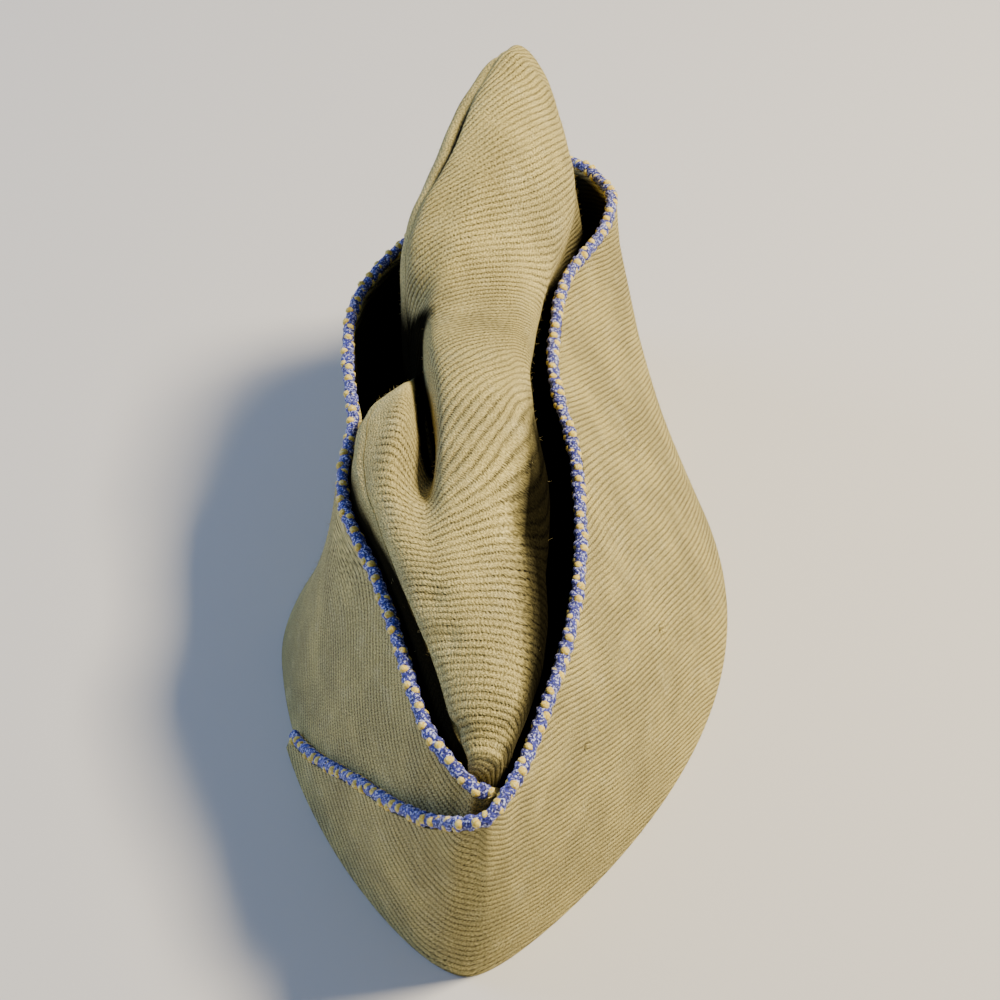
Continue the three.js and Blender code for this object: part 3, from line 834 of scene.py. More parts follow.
@dataclass
class Fuzz:
    """Loose fibres over a cloth: short, thin, bent slivers, scattered and turned at random, and a
    little thicker than real ones, so that they show."""

    fibre: bpy.types.Material
    count_per_mm2: float = 0.22
    length: float = 1.25
    radius: float = 0.032
    shortest: float = 0.45
    longest: float = 1.2
    lean: float = 1.2
    bends: int = 2
    sides: int = 3
    knee_height: float = 0.6
    tip_reach: tuple[float, float] = (0.6, 0.8)
    taper: float = 0.8

    def tree(self) -> bpy.types.NodeTree:
        """Geometry nodes that scatter the fibres where the cloth carries fuzz."""
        tree, node, source = blank_group("wool_fuzz", ("Density", "Length", "Radius", "Lean"), seeded=True)
        share = node("GeometryNodeInputNamedAttribute", "fuzz", data_type="FLOAT")
        density = node(MATH, source["Density"], share, operation="MULTIPLY")
        scatter = node("GeometryNodeDistributePointsOnFaces", source["Geometry"], inputs={
            "Density": density, "Seed": source["Seed"]}, distribute_method="RANDOM")
        knee, out, up = (node(MATH, source["Length"], factor, operation="MULTIPLY")
                         for factor in (self.knee_height, *self.tip_reach))
        spine = node("GeometryNodeCurveQuadraticBezier", self.bends, (0.0, 0.0, 0.0),
                     node(COMBINE, 0, 0, knee), node(COMBINE, out, 0, up))
        narrow = node(MATH, node("GeometryNodeSplineParameter"), self.taper, operation="MULTIPLY")
        section = node("GeometryNodeCurvePrimitiveCircle", self.sides, source["Radius"], mode="RADIUS")
        thickness = node(MATH, 1.0, narrow, operation="SUBTRACT")
        sliver = node("GeometryNodeCurveToMesh", spine, section, thickness, True)
        dressed = node("GeometryNodeSetMaterial", sliver, inputs={"Material": self.fibre})
        lean = source["Lean"]
        back = node(MATH, lean, -1.0, operation="MULTIPLY")
        turned = node("FunctionNodeRandomValue", node(COMBINE, back, back),
                      node(COMBINE, lean, lean, 2 * math.pi), inputs={"Seed": source["Seed"]},
                      data_type="FLOAT_VECTOR")
        stance = node("FunctionNodeRotateRotation", scatter.outputs["Rotation"],
                      node("FunctionNodeEulerToRotation", turned), rotation_space="LOCAL")
        size = node("FunctionNodeRandomValue", self.shortest, self.longest,
                    inputs={"Seed": source["Seed"]}, data_type="FLOAT")
        placed = node("GeometryNodeInstanceOnPoints", scatter, inputs={
            "Instance": dressed, "Rotation": stance, "Scale": size})
        join = node("GeometryNodeJoinGeometry", node("GeometryNodeRealizeInstances", placed))
        tree.links.new(source["Geometry"], join.inputs[0])
        node("NodeGroupOutput", join)
        return tree

    def grow(self, cloth: bpy.types.Mesh, name: str, seed: int) -> bpy.types.Object:
        """Makes a piece of a cloth with its fibres.

        Args:
            cloth: the cloth's mesh, in metres.
            name: the piece's name.
            seed: the number that the scattering starts from.

        Returns:
            The piece, in the scene.
        """
        holder = show("fuzz_holder", cloth)
        sizes = {"Density": self.count_per_mm2 / MM**2, "Length": self.length * MM,
                 "Radius": self.radius * MM, "Lean": self.lean, "Seed": seed}
        return show(name, shaped(holder, self.tree(), sizes, name))


def shaped(holder: bpy.types.Object, tree: bpy.types.NodeTree, sizes: dict[str, float], name: str
           ) -> bpy.types.Mesh:
    """Runs a geometry tree on an object, which is then taken away.

    Args:
        holder: the object.
        tree: the geometry tree.
        sizes: the tree's inputs by name, set through their identifiers.
        name: the new mesh's name.

    Returns:
        What the tree makes, as a plain mesh.
    """
    modifier = holder.modifiers.new(tree.name, "NODES")
    modifier.node_group = tree
    for item in tree.interface.items_tree:
        if item.in_out == "INPUT" and item.name in sizes:
            modifier[item.identifier] = sizes[item.name]
    graph = bpy.context.evaluated_depsgraph_get()
    mesh = bpy.data.meshes.new_from_object(holder.evaluated_get(graph), depsgraph=graph)
    mesh.name = name
    bpy.data.objects.remove(holder)
    return mesh


@dataclass(frozen=True)
class BraidYarn:
    """Braided rayon and cotton yarn: bright fibres with paler spots, painted glints that stand in for
    the light the shiny twist catches. They are drawn coarser than single fibres, so that they show."""

    name: str
    deep: str
    body: str
    # Colour of the painted glints.
    painted_glint: str
    glint_share: float
    grain: float = 0.7
    glint_grain: float = 0.8
    twist_grain: float = 0.45
    twist_depth: float = 0.16
    body_ramp: Ramp = (0.35, 0.6)
    glint_edge: tuple[float, float] = (0.72, 0.3)
    glint_ramp: Ramp = (-0.06, 0.05)
    roughness: float = 0.6
    gloss: float = 0.35
    sheen_weight: float = 0.15
    sheen_roughness: float = 0.5

    def material(self) -> bpy.types.Material:
        """The yarn as a node material."""
        material, node = blank_material(self.name)
        place = node("ShaderNodeTexCoord").outputs["Object"]
        body, glints, twist = (node(NOISE, place, 1 / (self.grain * share * MM), 2.0)
                               for share in (1, self.glint_grain, self.twist_grain))
        edge = self.glint_edge[0] - self.glint_edge[1] * self.glint_share
        colour = linear(self.deep)
        # Painted glints: paler spots scattered by noise over the yarn's colour.
        for noise, ramp, other in ((body, self.body_ramp, self.body),
                                   (glints, [edge + past for past in self.glint_ramp], self.painted_glint)):
            colour = node(MIX, node(STEP, noise, *ramp, **SMOOTH), colour, linear(other), **COLOURS)
        bump = node("ShaderNodeBump", inputs={
            "Height": twist, "Strength": 1.0, "Distance": self.twist_depth * MM})
        surface = node(PRINCIPLED, inputs={
            "Base Color": colour, "Roughness": self.roughness, "Specular IOR Level": self.gloss,
            "Sheen Weight": self.sheen_weight, "Sheen Roughness": self.sheen_roughness,
            "Normal": bump})
        node("ShaderNodeOutputMaterial", surface)
        return material


def seat(piece: bpy.types.Object, node: str) -> None:
    """Puts a finished piece in the frame.

    Args:
        piece: the piece.
        node: the frame's node that it stands for.
    """
    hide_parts(node)
    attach(piece, "root")
    LOG.info("%s: %d faces, stands for %s", piece.name, len(piece.data.polygons), node)


def show(name: str, data: bpy.types.ID) -> bpy.types.Object:
    """Puts a new object in the scene.

    Args:
        name: the object's name.
        data: its mesh, curve, light or camera.

    Returns:
        The object.
    """
    item = bpy.data.objects.new(name, data)
    bpy.context.scene.collection.objects.link(item)
    return item


def finish_cloth(node: str, sheet: ClothSheet, wool: bpy.types.Material, fuzz: Fuzz, seed: int
                 ) -> bpy.types.Object:
    """Turns a cloth sheet into a seated piece.

    Args:
        node: the frame's node that it stands for.
        sheet: the cloth.
        wool: the knit's material.
        fuzz: the loose fibres over it.
        seed: the number that their scattering starts from.

    Returns:
        The piece.
    """
    cloth = sheet.mesh()
    cloth.materials.append(wool)
    piece = fuzz.grow(cloth, f"{node}_knit", seed)
    seat(piece, node)
    return piece


@dataclass
class Curtain:
    """One turned-up curtain: a wall of the cap's outer or inner layer, up to its cord.

    A nip is a small hole in the cloth: its angle, its share of the height, its size and its depth.
    The inner face darkens just below the cord, because no light reaches in there.
    """

    form: CapForm
    node: str
    outer: bool
    span: tuple[float, float]
    knit: KnitField
    stations: int = 380
    rises: int = 64
    cord_tuck: float = 0.35
    least_slant: float = 0.01
    # How far below the cord the inner face is painted dark as shade, and how dark.
    gap_shade_reach: float = 1.8
    gap_shade_share: float = 0.96
    # How the painted shade round a nip fades.
    nip_shade_span: tuple[float, float] = (0.3, 0.8)
    nips: tuple[tuple[float, float, float, float], ...] = ()

    def cord_rise(self, degrees: Array) -> Array:
        """The share of the wall's height at which the cord's axis lies.

        Args:
            degrees: signed angles.

        Returns:
            A share for each angle.
        """
        if not self.outer:
            return np.ones_like(degrees)
        return np.where(degrees >= 0, 1, FLAP_RISE.read(np.maximum(-degrees, 0))["share"])

    def layer(self, degrees: Array, rise: Array) -> Array:
        """The curtain's layer of the cap."""
        return self.form.outer_layer(degrees, rise) if self.outer else self.form.inner_layer(degrees, rise)

    def cloth_rise(self, degrees: Array) -> Array:
        """The share of the wall's height at which the cloth ends, just inside the cord.

        Args:
            degrees: signed angles.

        Returns:
            A share for each angle.
        """
        wall = self.layer(degrees, np.ones_like(degrees)) - self.layer(degrees, np.zeros_like(degrees))
        step = self.form.slant_step
        after = self.layer(degrees + step, self.cord_rise(degrees + step))
        before = self.layer(degrees - step, self.cord_rise(degrees - step))
        cosine = dot(unit(after - before), unit(wall))[..., 0]
        across = np.sqrt(np.maximum(1 - cosine**2, self.least_slant))
        reach = (self.form.cord_diameter / 2 - self.cord_tuck) / across / np.linalg.norm(wall, axis=-1)
        return self.cord_rise(degrees) - reach

    def sheet(self) -> ClothSheet:
        """The curtain's cloth."""
        degrees = np.linspace(*self.span, self.stations + 1)
        rise = self.cloth_rise(degrees)[:, None] * np.linspace(0, 1, self.rises + 1)[None, :]
        angle = np.broadcast_to(degrees[:, None], rise.shape)
        outer = self.layer(angle, rise)
        normal = self.form.normal(self.layer, angle, rise)
        inner = outer - normal * self.form.curtain_wall
        for face in (outer, inner):
            face[..., 0] += np.where(np.abs(angle) >= 180, np.sign(angle) * self.form.gap / 2, 0)
        middle = self.rises // 2
        height = lengths_along(outer, 1)
        knit = self.knit.lay(degrees, lengths_along(outer, 0)[:, middle],
                             height - height[:, middle:middle + 1])
        none = np.zeros(rise.shape)
        crease_shade = none
        for at, share, size, depth in self.nips:
            i = int(np.argmin(np.abs(degrees - at)))
            j = int(np.argmin(np.abs(rise[i] - share)))
            near = np.exp(-(np.linalg.norm(outer - outer[i, j], axis=-1) / size) ** 2)
            outer = outer - normal * (near * depth)[..., None]
            # Painted shade: the cloth round each nip is darkened.
            crease_shade = np.maximum(crease_shade, ease(*self.nip_shade_span, near))
        height = lengths_along(outer, 1)
        # Painted shade: the inner face is darkened just below the cord.
        dark = ease(0, self.gap_shade_reach, height[:, -1:] - height) * self.gap_shade_share
        return ClothSheet(self.node, outer - self.form.middle, inner - self.form.middle, knit, none, crease_shade,
                          none, dark)

    def build(self, wool: bpy.types.Material, fuzz: Fuzz, seed: int) -> bpy.types.Object:
        """Makes the curtain and seats it."""
        return finish_cloth(self.node, self.sheet(), wool, fuzz, seed)


@dataclass
class CrownPanel:
    """One crown panel: sections across the cap, from its foot under the curtain up to the seam.

    A knot is a point that the sections run through, counted from the foot. A dent has two ends, a
    size and a depth. A hollow has two ends and a size, and no light reaches into it.
    """

    form: CapForm
    node: str
    side: Side
    knit: KnitField
    fork_knot: int
    along_knot: int
    stations: int = 260
    span_steps: int = 12
    normal_stride: int = 3
    # How dark the painted shade in the gaps goes.
    gap_shade_share: float = 0.985
    seam_sink: float = 0.9
    seam_least: float = 0.35
    seam_reach: float = 1.3
    slit_width: float = 1.2
    plain_fade: float = 5
    hollow_fade: tuple[float, float] = (0.7, 1.1)
    swell_power: float = 1.5
    ridge_knot: int = 5
    flank_span: tuple[float, float] = (2.9, 4.25)
    drawn_span: tuple[float, float] = (1, 9)
    dents: tuple[tuple[tuple[float, float, float], tuple[float, float, float], float, float], ...] = ()
    hollows: tuple[tuple[tuple[float, float, float], tuple[float, float, float], float], ...] = ()

    def grid(self, side: Side) -> Array:
        """A panel's outer grid."""
        degrees = np.linspace(0, 180, self.stations + 1)
        return smooth_sections(self.form.crown_knots(degrees, side), self.span_steps)

    def normals(self, grid: Array, side: Side) -> Array:
        """Outward normals of a grid, level at the foot.

        Args:
            grid: the grid, stations by columns by 3.
            side: the side of the cap.

        Returns:
            A unit vector for each point.
        """
        reach = self.normal_stride
        rows, columns = grid.shape[:2]
        i, j = np.arange(rows), np.arange(columns)
        along = grid[np.minimum(i + reach, rows - 1)] - grid[np.maximum(i - reach, 0)]
        up = grid[:, np.minimum(j + reach, columns - 1)] - grid[:, np.maximum(j - reach, 0)]
        found = np.cross(along, up) * side.value
        found[:, 0, 2] = 0
        return unit(found)

    def sheet(self) -> ClothSheet:
        """The panel's cloth."""
        degrees = np.linspace(0, 180, self.stations + 1)
        grid = self.grid(self.side)
        normal = self.normals(grid, self.side)
        opposite = Side(-self.side.value)
        other = self.normals(self.grid(opposite), opposite)
        shared = normal.copy()
        shared[:, -1] = unit(normal[:, -1] + other[:, -1])
        angle = np.broadcast_to(degrees[:, None], grid.shape[:2])
        from_tip = np.minimum(angle, 180 - angle)
        inner = grid + self.form.inward(shared, angle) * CROWN_ROWS.read(degrees)["wall"][:, None, None]
        height = lengths_along(grid, 1)
        fork, along = self.fork_knot * self.span_steps, self.along_knot * self.span_steps
        knit = self.knit.lay(degrees, lengths_along(grid, 0)[:, along], height - height[:, fork:fork + 1])
        from_seam = height[:, -1:] - height
        slit = SEAM_SLIT.read(degrees)["depth"][:, None]
        sink = np.exp(-((from_seam / self.seam_reach) ** 2)) * self.seam_sink * (self.seam_least + slit)
        keep = ease(0, self.form.tip_blend / 2, from_tip)
        outer = grid - shared * (sink * keep)[..., None]
        for start, end, size, depth in self.dents:
            away = away_from(grid - self.form.middle, start, end)
            outer = outer - normal * (np.exp(-(away / size) ** 2) * depth)[..., None]
        if self.side is Side.RIGHT:
            outer[..., 0] += self.flank_swell(degrees, grid.shape[1])
            for face in (outer, inner):
                draw = FLANK_DRAW.read(degrees)["draw"][:, None]
                face[..., 0] -= draw * ease(*self.drawn_span, face[..., 0])
        edge = np.zeros(grid.shape[:2], bool)
        edge[[0, -1]] = True
        edge[:, -1] = True
        shift = self.parting(outer, from_tip) * (self.form.gap / 2) * edge[..., None] - self.form.middle
        # Painted shade along the seam, deepest where its slit opens.
        crease_shade = np.exp(-((from_seam / self.slit_width) ** 2)) * slit * keep
        return ClothSheet(self.node, outer + shift, inner + shift, knit, self.plain_share(degrees, from_seam),
                          crease_shade, self.depth_shade(degrees, outer), np.zeros(angle.shape))

    def flank_swell(self, degrees: Array, columns: int) -> Array:
        """How far the ridge's flank rounds out over the gap, between shoulder and tuck.

        Args:
            degrees: the stations' angles.
            columns: number of the grid's columns.

        Returns:
            A distance for each grid point.
        """
        start, end = (knot * self.span_steps for knot in self.flank_span)
        share = np.clip((np.arange(columns) - start) / (end - start), 0, 1)
        return FLANK_SWELL.read(degrees)["swell"][:, None] * np.sin(math.pi * share) ** self.swell_power

    def depth_shade(self, degrees: Array, grid: Array) -> Array:
        """How little light reaches the cloth: none deep beside the crown and in its notch.

        Args:
            degrees: the stations' angles.
            grid: the outer grid.

        Returns:
            A share for each grid point.
        """
        # These shares are painted into the cloth's colour as shade.
        row = {name: values[:, None] for name, values in GAP_LIGHT.read(degrees).items()}
        fold, flank, left = (1 - ease(row[f"{name}_dark"], row[f"{name}_lit"], grid[..., 2])
                             for name in ("fold", "flank", "left"))
        if self.side is Side.LEFT:
            return left * self.gap_shade_share
        beside = 1 - (1 - ease(row["side_lit"], row["side_dark"], grid[..., 0])) ** 2
        past_ridge = np.arange(grid.shape[1]) > self.ridge_knot * self.span_steps
        dark = np.where(past_ridge, fold, np.maximum(flank, beside))
        # Hollows are painted dark as shade.
        for start, end, size in self.hollows:
            full, none = (share * size for share in self.hollow_fade)
            dark = np.maximum(dark, 1 - ease(full, none, away_from(grid, start, end)))
        return dark * self.gap_shade_share

    def parting(self, grid: Array, from_tip: Array) -> Array:
        """Direction in which the panel stands off the other one.

        Args:
            grid: the outer grid.
            from_tip: angle of each point from the nearer tip.

        Returns:
            A unit vector for each grid point.
        """
        sideways = np.zeros_like(grid)
        sideways[..., 0] = self.side.value
        back = unit(grid[:, -2:-1] - grid[:, -1:])
        return unit(sideways + (back - sideways) * ease(0, self.form.tip_blend, from_tip)[..., None])

    def plain_share(self, degrees: Array, from_seam: Array) -> Array:
        """Where the ribs are rubbed away under fuzz: along the seam over the fold and at its back.

        Args:
            degrees: the stations' angles.
            from_seam: distance of each grid point from the seam.

        Returns:
            A share for each grid point.
        """
        reach = FUZZ_SPANS.read(degrees)[self.side.name.lower()][:, None]
        return 1 - ease(0, 1, (from_seam - reach) / self.plain_fade + 0.5)

    def build(self, wool: bpy.types.Material, fuzz: Fuzz, seed: int) -> bpy.types.Object:
        """Makes the panel and seats it."""
        return finish_cloth(self.node, self.sheet(), wool, fuzz, seed)


# Heights and widths, for each angle, between which the crown cloth is painted dark as shade in the gaps and
# the notch.
GAP_LIGHT = Table(
    "angle flank_dark flank_lit side_lit side_dark fold_dark fold_lit left_dark left_lit",
    [
        (0, 56, 72, 6, 9, 40, 50, 72, 74.5), (9, 58, 78, 7, 9.8, 40, 50, 75, 77),
        (20, 64, 84, 7.8, 11.4, 40, 50, 78.4, 80.4), (29.3, 68, 87, 9.6, 13.8, 40, 50, 81.2, 83.4),
        (39.3, 70, 90, 10.5, 15.5, 40, 50, 84.2, 86.4), (49.3, 72, 93, 8.5, 16, 40, 50, 87.6, 89.6),
        (58.4, 73, 96, 6.5, 13.5, 40, 50, 88.8, 91.8), (65, 73, 97, 5, 10.5, 40, 50, 87, 92.4),
        (74, 73, 98, 6, 12, 40, 50, 86.5, 92.4), (84, 70, 97, 6.5, 12, 40, 50, 86, 92.5),
        (90, 68, 96, 8.5, 16, 40, 50, 84, 90), (91.5, 66, 95, 10, 20, 40, 50, 84, 92),
        (94, 66, 96, 14, 28, 91, 97, 90, 99), (100, 64, 95, 30, 40, 93, 99.5, 90, 100),
        (104, 60, 90, 30, 40, 88, 98, 92, 102), (110, 60, 88, 30, 40, 66, 80, 92, 108),
        (120, 60, 86, 30, 40, 40, 50, 90, 112), (130, 60, 86, 30, 40, 40, 50, 90, 116),
        (150, 60, 84, 30, 40, 40, 50, 80, 110), (180, 60, 84, 30, 40, 40, 50, 66, 86),
    ],
)

FLANK_SWELL = Table("angle swell", [
    (0, 0), (25, 0), (45, 6), (60, 9), (75, 8), (86, 3), (94, 0), (180, 0),
])

FLANK_DRAW = Table("angle draw", [
    (0, 0), (72, 0), (80, 2.2), (88, 3.6), (96, 3.4), (103, 2.6), (112, 0.8), (120, 0), (180, 0),
])

SEAM_SLIT = Table("angle depth", [
    (0, 0.12), (60, 0.08), (108, 0.05), (114, 0.15), (117, 0.8), (120, 1), (128, 1), (131, 0.35), (136, 0.15),
    (150, 0.12), (180, 0.1),
])

FUZZ_SPANS = Table("angle right left", [
    (0, 0, 0), (40, 1, 3), (60, 3, 8), (72, 4, 12), (84, 8, 14), (92, 10, 14), (97, 2, 12), (104, 0, 14),
    (118, 0, 10), (130, 0, 3), (180, 0, 0),
])


@dataclass
class Piping:
    """The braided cord on the curtains' edge: two golden and two blue yarns, laid opposite ways over
    a blue core. The golden ones all but vanish where they dive, so that they show as dots."""

    form: CapForm
    node: str = "piping"
    back_angle: float = 177
    hidden_end: float = 5
    flap_end: float = 63
    inside_points: int = 40
    outside_points: int = 52
    lay: float = 8
    gold_radius: float = 1.12
    blue_radius: float = 1.0
    core_radius: float = 1.5
    lay_radius: float = 0.8
    weave: float = 0.26
    gold_thin: float = 0.15
    blue_swell: float = 0.12
    turned: float = 0.6
    step: float = 0.4
    strand_sides: int = 8
    curve_steps: int = 12
    # The last colour and share of each yarn are its painted glints.
    gold: BraidYarn = field(default_factory=lambda: BraidYarn(
        "gold_yarn", "#ddb63c", "#f6dc66", "#fff6c4", 0.25))
    blue: BraidYarn = field(default_factory=lambda: BraidYarn(
        "blue_yarn", "#14164f", "#3c409c", "#c9ccf0", 0.46))

    def path(self) -> Array:
        """The cord's axis: from its hidden end, round the back, over the front fold to the rim."""
        inner, outer = (Curtain(self.form, self.node, is_outer, (0, 0), KnitField(SIDE_RIBS_RIGHT))
                        for is_outer in (False, True))
        parts = []
        for curtain, start, end, count in (
            (inner, self.hidden_end, -self.back_angle, self.inside_points),
            (outer, self.back_angle, -self.flap_end, self.outside_points),
        ):
            degrees = np.linspace(start, end, count)
            rise = curtain.cord_rise(degrees)
            normal = self.form.normal(curtain.layer, degrees, rise)
            parts.append(curtain.layer(degrees, rise) - normal * self.form.cord_inset)
        return np.concatenate(parts) - np.array(self.form.middle)

    def braid_tree(self, gold: bpy.types.Material, blue: bpy.types.Material, sizes: Sequence[str]
                   ) -> bpy.types.NodeTree:
        """Geometry nodes that braid the yarns round a path.

        Args:
            gold: the golden yarns' material.
            blue: the blue yarns' and the core's.
            sizes: the names of the tree's sizes.

        Returns:
            The tree.
        """
        tree, node, source = blank_group("braided_cord", sizes)
        even = node("GeometryNodeResampleCurve", source["Geometry"], inputs={"Length": source["Step"]},
                    mode="LENGTH")
        normal = node("GeometryNodeInputNormal")
        side = node(VECTOR, node("GeometryNodeInputTangent"), normal, operation="CROSS_PRODUCT")
        length = node("GeometryNodeSplineParameter").outputs["Length"]
        turn = node(MATH, node(MATH, length, 2 * math.pi, operation="MULTIPLY"), source["Lay"],
                    operation="DIVIDE")
        wave = node(MATH, node(MATH, turn, 2.0, operation="MULTIPLY"), operation="COSINE")
        over = node(MATH, wave, source["Weave"], operation="MULTIPLY")
        on_top = node(MATH, node(MATH, wave, 0.0, operation="MAXIMUM"), operation="SQRT")
        gold_swell = node(MATH, on_top, self.gold_thin, operation="ADD")
        below = node(MATH, wave, -self.blue_swell, operation="MULTIPLY")
        blue_swell = node(MATH, below, 1 - self.blue_swell, operation="ADD")
        join = node("GeometryNodeJoinGeometry")

        def yarn(path: bpy.types.Node, radius: bpy.types.NodeSocket, swell: object,
                 finish: bpy.types.Material) -> None:
            """Lays one round yarn.

            Args:
                path: its axis.
                radius: its radius.
                swell: how thick it is along the axis, as a share.
                finish: its material.
            """
            section = node("GeometryNodeCurvePrimitiveCircle", self.strand_sides, radius, mode="RADIUS")
            swept = node("GeometryNodeCurveToMesh", path, section, swell, True)
            dressed = node("GeometryNodeSetMaterial", swept, inputs={"Material": finish})
            tree.links.new(dressed.outputs[0], join.inputs[0])

        for hand, thickness, swell, finish in ((1.0, "Gold Radius", gold_swell, gold),
                                               (-1.0, "Blue Radius", blue_swell, blue)):
            lean = node(MATH, over, hand, operation="MULTIPLY")
            radius = node(MATH, source["Lay Radius"], lean, operation="ADD")
            for strand in range(2):
                angle = node(MATH, turn, hand, operation="MULTIPLY")
                angle = node(MATH, angle, strand * math.pi + self.turned, operation="ADD")
                offsets = []
                for axis, wheel in ((normal, "COSINE"), (side, "SINE")):
                    reach = node(MATH, radius, node(MATH, angle, operation=wheel), operation="MULTIPLY")
                    offsets.append(node(VECTOR, axis, reach, operation="SCALE"))
                offset = node(VECTOR, *offsets, operation="ADD")
                moved = node("GeometryNodeSetPosition", even, inputs={"Offset": offset})
                yarn(moved, source[thickness], swell, finish)
        yarn(even, source["Core Radius"], 1.0, blue)
        smooth = node("GeometryNodeSetShadeSmooth", join, inputs={"Shade Smooth": True})
        node("NodeGroupOutput", node("GeometryNodeRealizeInstances", smooth))
        return tree

    def build(self) -> bpy.types.Object:
        """Makes the cord and seats it."""
        points = self.path() * MM
        curve = bpy.data.curves.new("cord_axis", "CURVE")
        curve.dimensions = "3D"
        spline = curve.splines.new("NURBS")
        spline.points.add(len(points) - 1)
        for target, point in zip(spline.points, points):
            target.co = (*point, 1)
        spline.use_endpoint_u = True
        spline.order_u, spline.resolution_u = 4, self.curve_steps
        sizes = {"Lay": self.lay, "Gold Radius": self.gold_radius, "Blue Radius": self.blue_radius,
                 "Core Radius": self.core_radius, "Lay Radius": self.lay_radius, "Weave": self.weave,
                 "Step": self.step}
        sizes = {name: size * MM for name, size in sizes.items()}
        tree = self.braid_tree(self.gold.material(), self.blue.material(), list(sizes))
        piece = show("piping_braid", shaped(show("cord_axis", curve), tree, sizes, "piping_braid"))
        seat(piece, self.node)
        return piece


SIDE_RIBS_RIGHT = Table("angle low high pitch", [
    (-63, -38, -38, 2.1), (-23, -40, -40, 2.3), (-7, -26, -26, 2.4), (0, -28, -28, 2.3), (10, -28, -28, 2.1),
    (26, -28, -28, 1.85), (45, -28, -28, 1.6), (69, -30, -30, 1.5), (84, -36, -34, 1.6), (100, -37, -33, 1.5),
    (120, -33, -33, 1.4), (180, -25, -25, 1.6),
])

SIDE_RIBS_LEFT = Table("angle low high pitch", [
    (-180, 195, 195, 1.8), (-100, 190, 190, 1.8), (-84, 180, 180, 1.8), (-77, 166, 166, 1.8),
    (-70, 150, 150, 1.85), (-64, 142, 142, 1.9), (-56, 141, 141, 1.95), (-48, 143, 143, 2),
    (-38, 152, 152, 2.2), (-25, 158, 158, 2.2), (17, 160, 160, 2.2),
])

CROWN_RIBS_RIGHT = Table("angle low high pitch", [
    (0, -90, -90, 1.9), (20, -90, -90, 1.85), (36, -92, -100, 1.85), (46, -86, -104, 1.85),
    (57, -74, -106, 1.8), (63, -66, -106, 1.8), (71, -57, -104, 1.75), (80, -53, -100, 1.75),
    (84, -52, -98, 1.75), (92, -58, -92, 1.7), (97, -62, -70, 1.65), (105, -64, -64, 1.65),
    (128, -32, -32, 1.7), (180, -30, -30, 1.8),
])

CROWN_RIBS_LEFT = Table("angle low high pitch", [
    (0, 90, 90, 1.9), (60, 80, 80, 1.9), (120, 70, 70, 1.9), (180, 60, 60, 1.9),
])


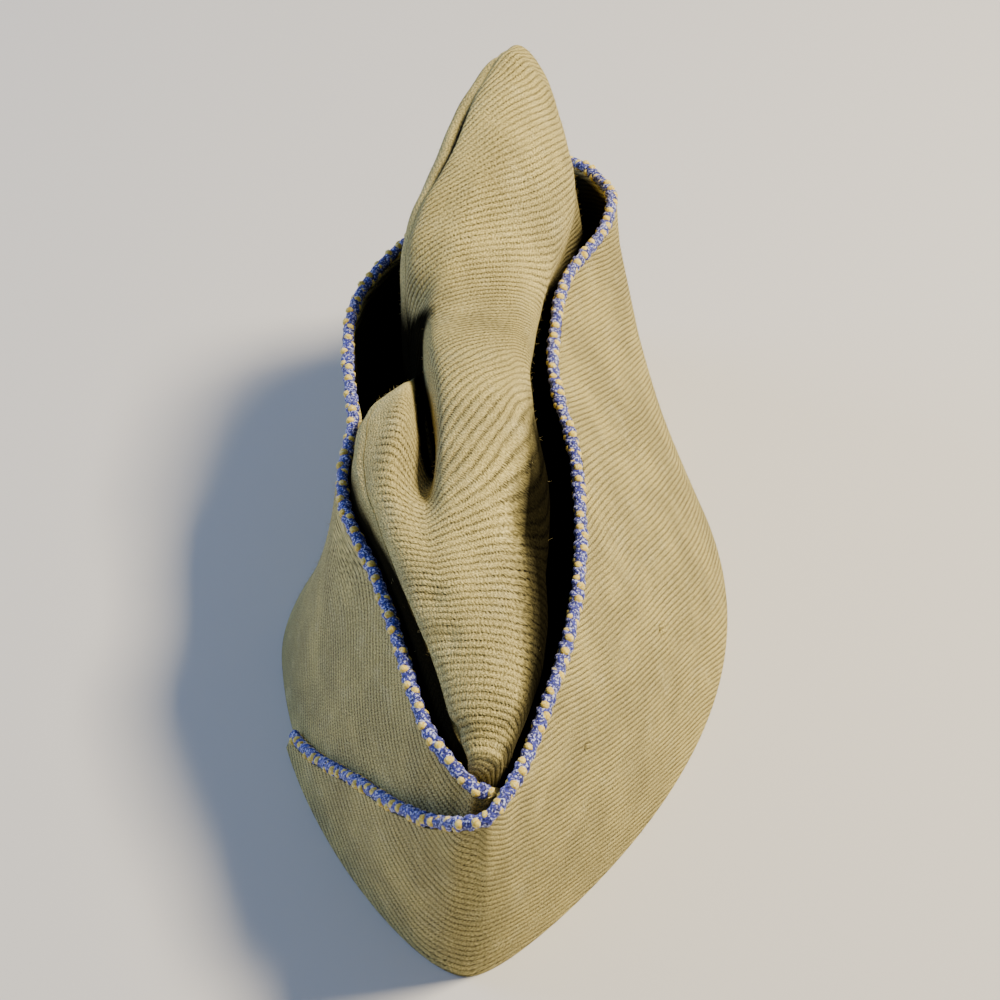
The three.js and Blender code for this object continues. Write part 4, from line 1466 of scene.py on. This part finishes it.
@dataclass
class Studio:
    """The pale floor, the soft lights and the camera."""

    eye: tuple[float, float, float] = (27.57, -383.44, 458.3)
    turn: float = 4.5
    tilt: float = 47
    lens: float = 72
    sensor: float = 36
    key_from: tuple[float, float, float] = (0.56, 0.1, 0.82)
    distance: float = 1.3
    key_size: float = 0.28
    key_power: float = 36
    key_colour: str = "#fff1d8"
    fill_from: tuple[float, float, float] = (-0.93, 0.22, 0.28)
    fill_power: float = 11
    fill_size: float = 0.6
    fill_colour: str = "#98b9ff"
    sky: str = "#c3d3ee"
    sky_strength: float = 0.35
    floor_colour: str = "#d9d6cf"
    floor_roughness: float = 0.85
    floor_size: float = 6
    floor_drop: float = 0.2
    aim_height: float = 0.05
    clip: tuple[float, float] = (0.01, 20)

    def floor(self) -> None:
        """A plain pale floor under the rim."""
        mesh = bpy.data.meshes.new("floor")
        half, down = self.floor_size / 2, -self.floor_drop * MM
        mesh.from_pydata([(x * half, y * half, down) for x, y in ((-1, -1), (1, -1), (1, 1), (-1, 1))],
                         [], [(0, 1, 2, 3)])
        material, node = blank_material("matt_floor_paint")
        node("ShaderNodeOutputMaterial", node(PRINCIPLED, inputs={
            "Base Color": linear(self.floor_colour), "Roughness": self.floor_roughness}))
        mesh.materials.append(material)
        show("floor", mesh)

    def light(self, name: str, direction: tuple[float, float, float], power: float, size: float,
              colour: str) -> None:
        """A soft square light that looks at the cap.

        Args:
            name: the light's name.
            direction: from the cap towards the light.
            power: watts.
            size: side of the square in metres.
            colour: sRGB hex colour.
        """
        lamp = bpy.data.lights.new(name, "AREA")
        lamp.energy, lamp.size, lamp.color = power, size, linear(colour)[:3]
        holder = show(name, lamp)
        holder.visible_camera = False
        towards = Vector(direction).normalized()
        holder.location = towards * self.distance + Vector((0, 0, self.aim_height))
        holder.rotation_euler = towards.to_track_quat("Z", "Y").to_euler()

    def camera(self) -> None:
        """The camera at the photograph's angle."""
        data = bpy.data.cameras.new("camera")
        data.lens, data.sensor_width, data.sensor_fit = self.lens, self.sensor, "AUTO"
        data.clip_start, data.clip_end = self.clip
        holder = show("camera", data)
        rotation = Matrix.Rotation(math.radians(self.turn), 4, "Z") @ Matrix.Rotation(
            math.radians(90 - self.tilt), 4, "X")
        holder.matrix_world = Matrix.Translation(Vector(self.eye) * MM) @ rotation
        bpy.context.scene.camera = holder

    def build(self) -> None:
        """Makes the whole setting."""
        self.floor()
        self.light("key", self.key_from, self.key_power, self.key_size, self.key_colour)
        self.light("fill", self.fill_from, self.fill_power, self.fill_size, self.fill_colour)
        world = bpy.data.worlds.new("soft_sky")
        world.use_nodes = True
        sky = world.node_tree.nodes["Background"]
        sky.inputs["Color"].default_value = linear(self.sky)
        sky.inputs["Strength"].default_value = self.sky_strength
        bpy.context.scene.world = world
        self.camera()


def main() -> None:
    """Builds the cap piece by piece, then its setting."""
    logging.basicConfig(level=logging.INFO, format="%(name)s: %(message)s")
    form = CapForm()
    wool = KnitWool().material()
    pieces = [
        CrownPanel(form, "crown_left", Side.LEFT, KnitField(CROWN_RIBS_LEFT), fork_knot=4, along_knot=4),
        CrownPanel(form, "crown_right", Side.RIGHT, KnitField(CROWN_RIBS_RIGHT), fork_knot=6, along_knot=5,
                   dents=(((-16.5, -78, 93), (-13.5, -77, 93.5), 3.5, 1.6),
                          ((-12, -87, 90), (-8.5, -87, 91), 3, 1.3),
                          ((-6, -106.5, 80.5), (9, -106.5, 82.5), 2.2, 1.3),
                          ((0.5, 70, 120.6), (0.2, 54, 115.8), 2.2, 1.1)),
                   hollows=(((-18.3, -20, 83), (-20.6, 1, 83), 8.7),)),
        Curtain(form, "curtain_left", False, (-180, 17), KnitField(SIDE_RIBS_LEFT)),
        Curtain(form, "curtain_right", True, (-63, 180), KnitField(SIDE_RIBS_RIGHT),
                nips=((72, 0.525, 1.4, 1.2), (46, 0.675, 1.0, 0.8))),
    ]
    fuzz = Fuzz(LooseFibre().material())
    for seed, piece in enumerate(pieces):
        piece.build(wool, fuzz, seed)
    Piping(form).build()
    Studio().build()


if __name__ == "__main__":
    main()
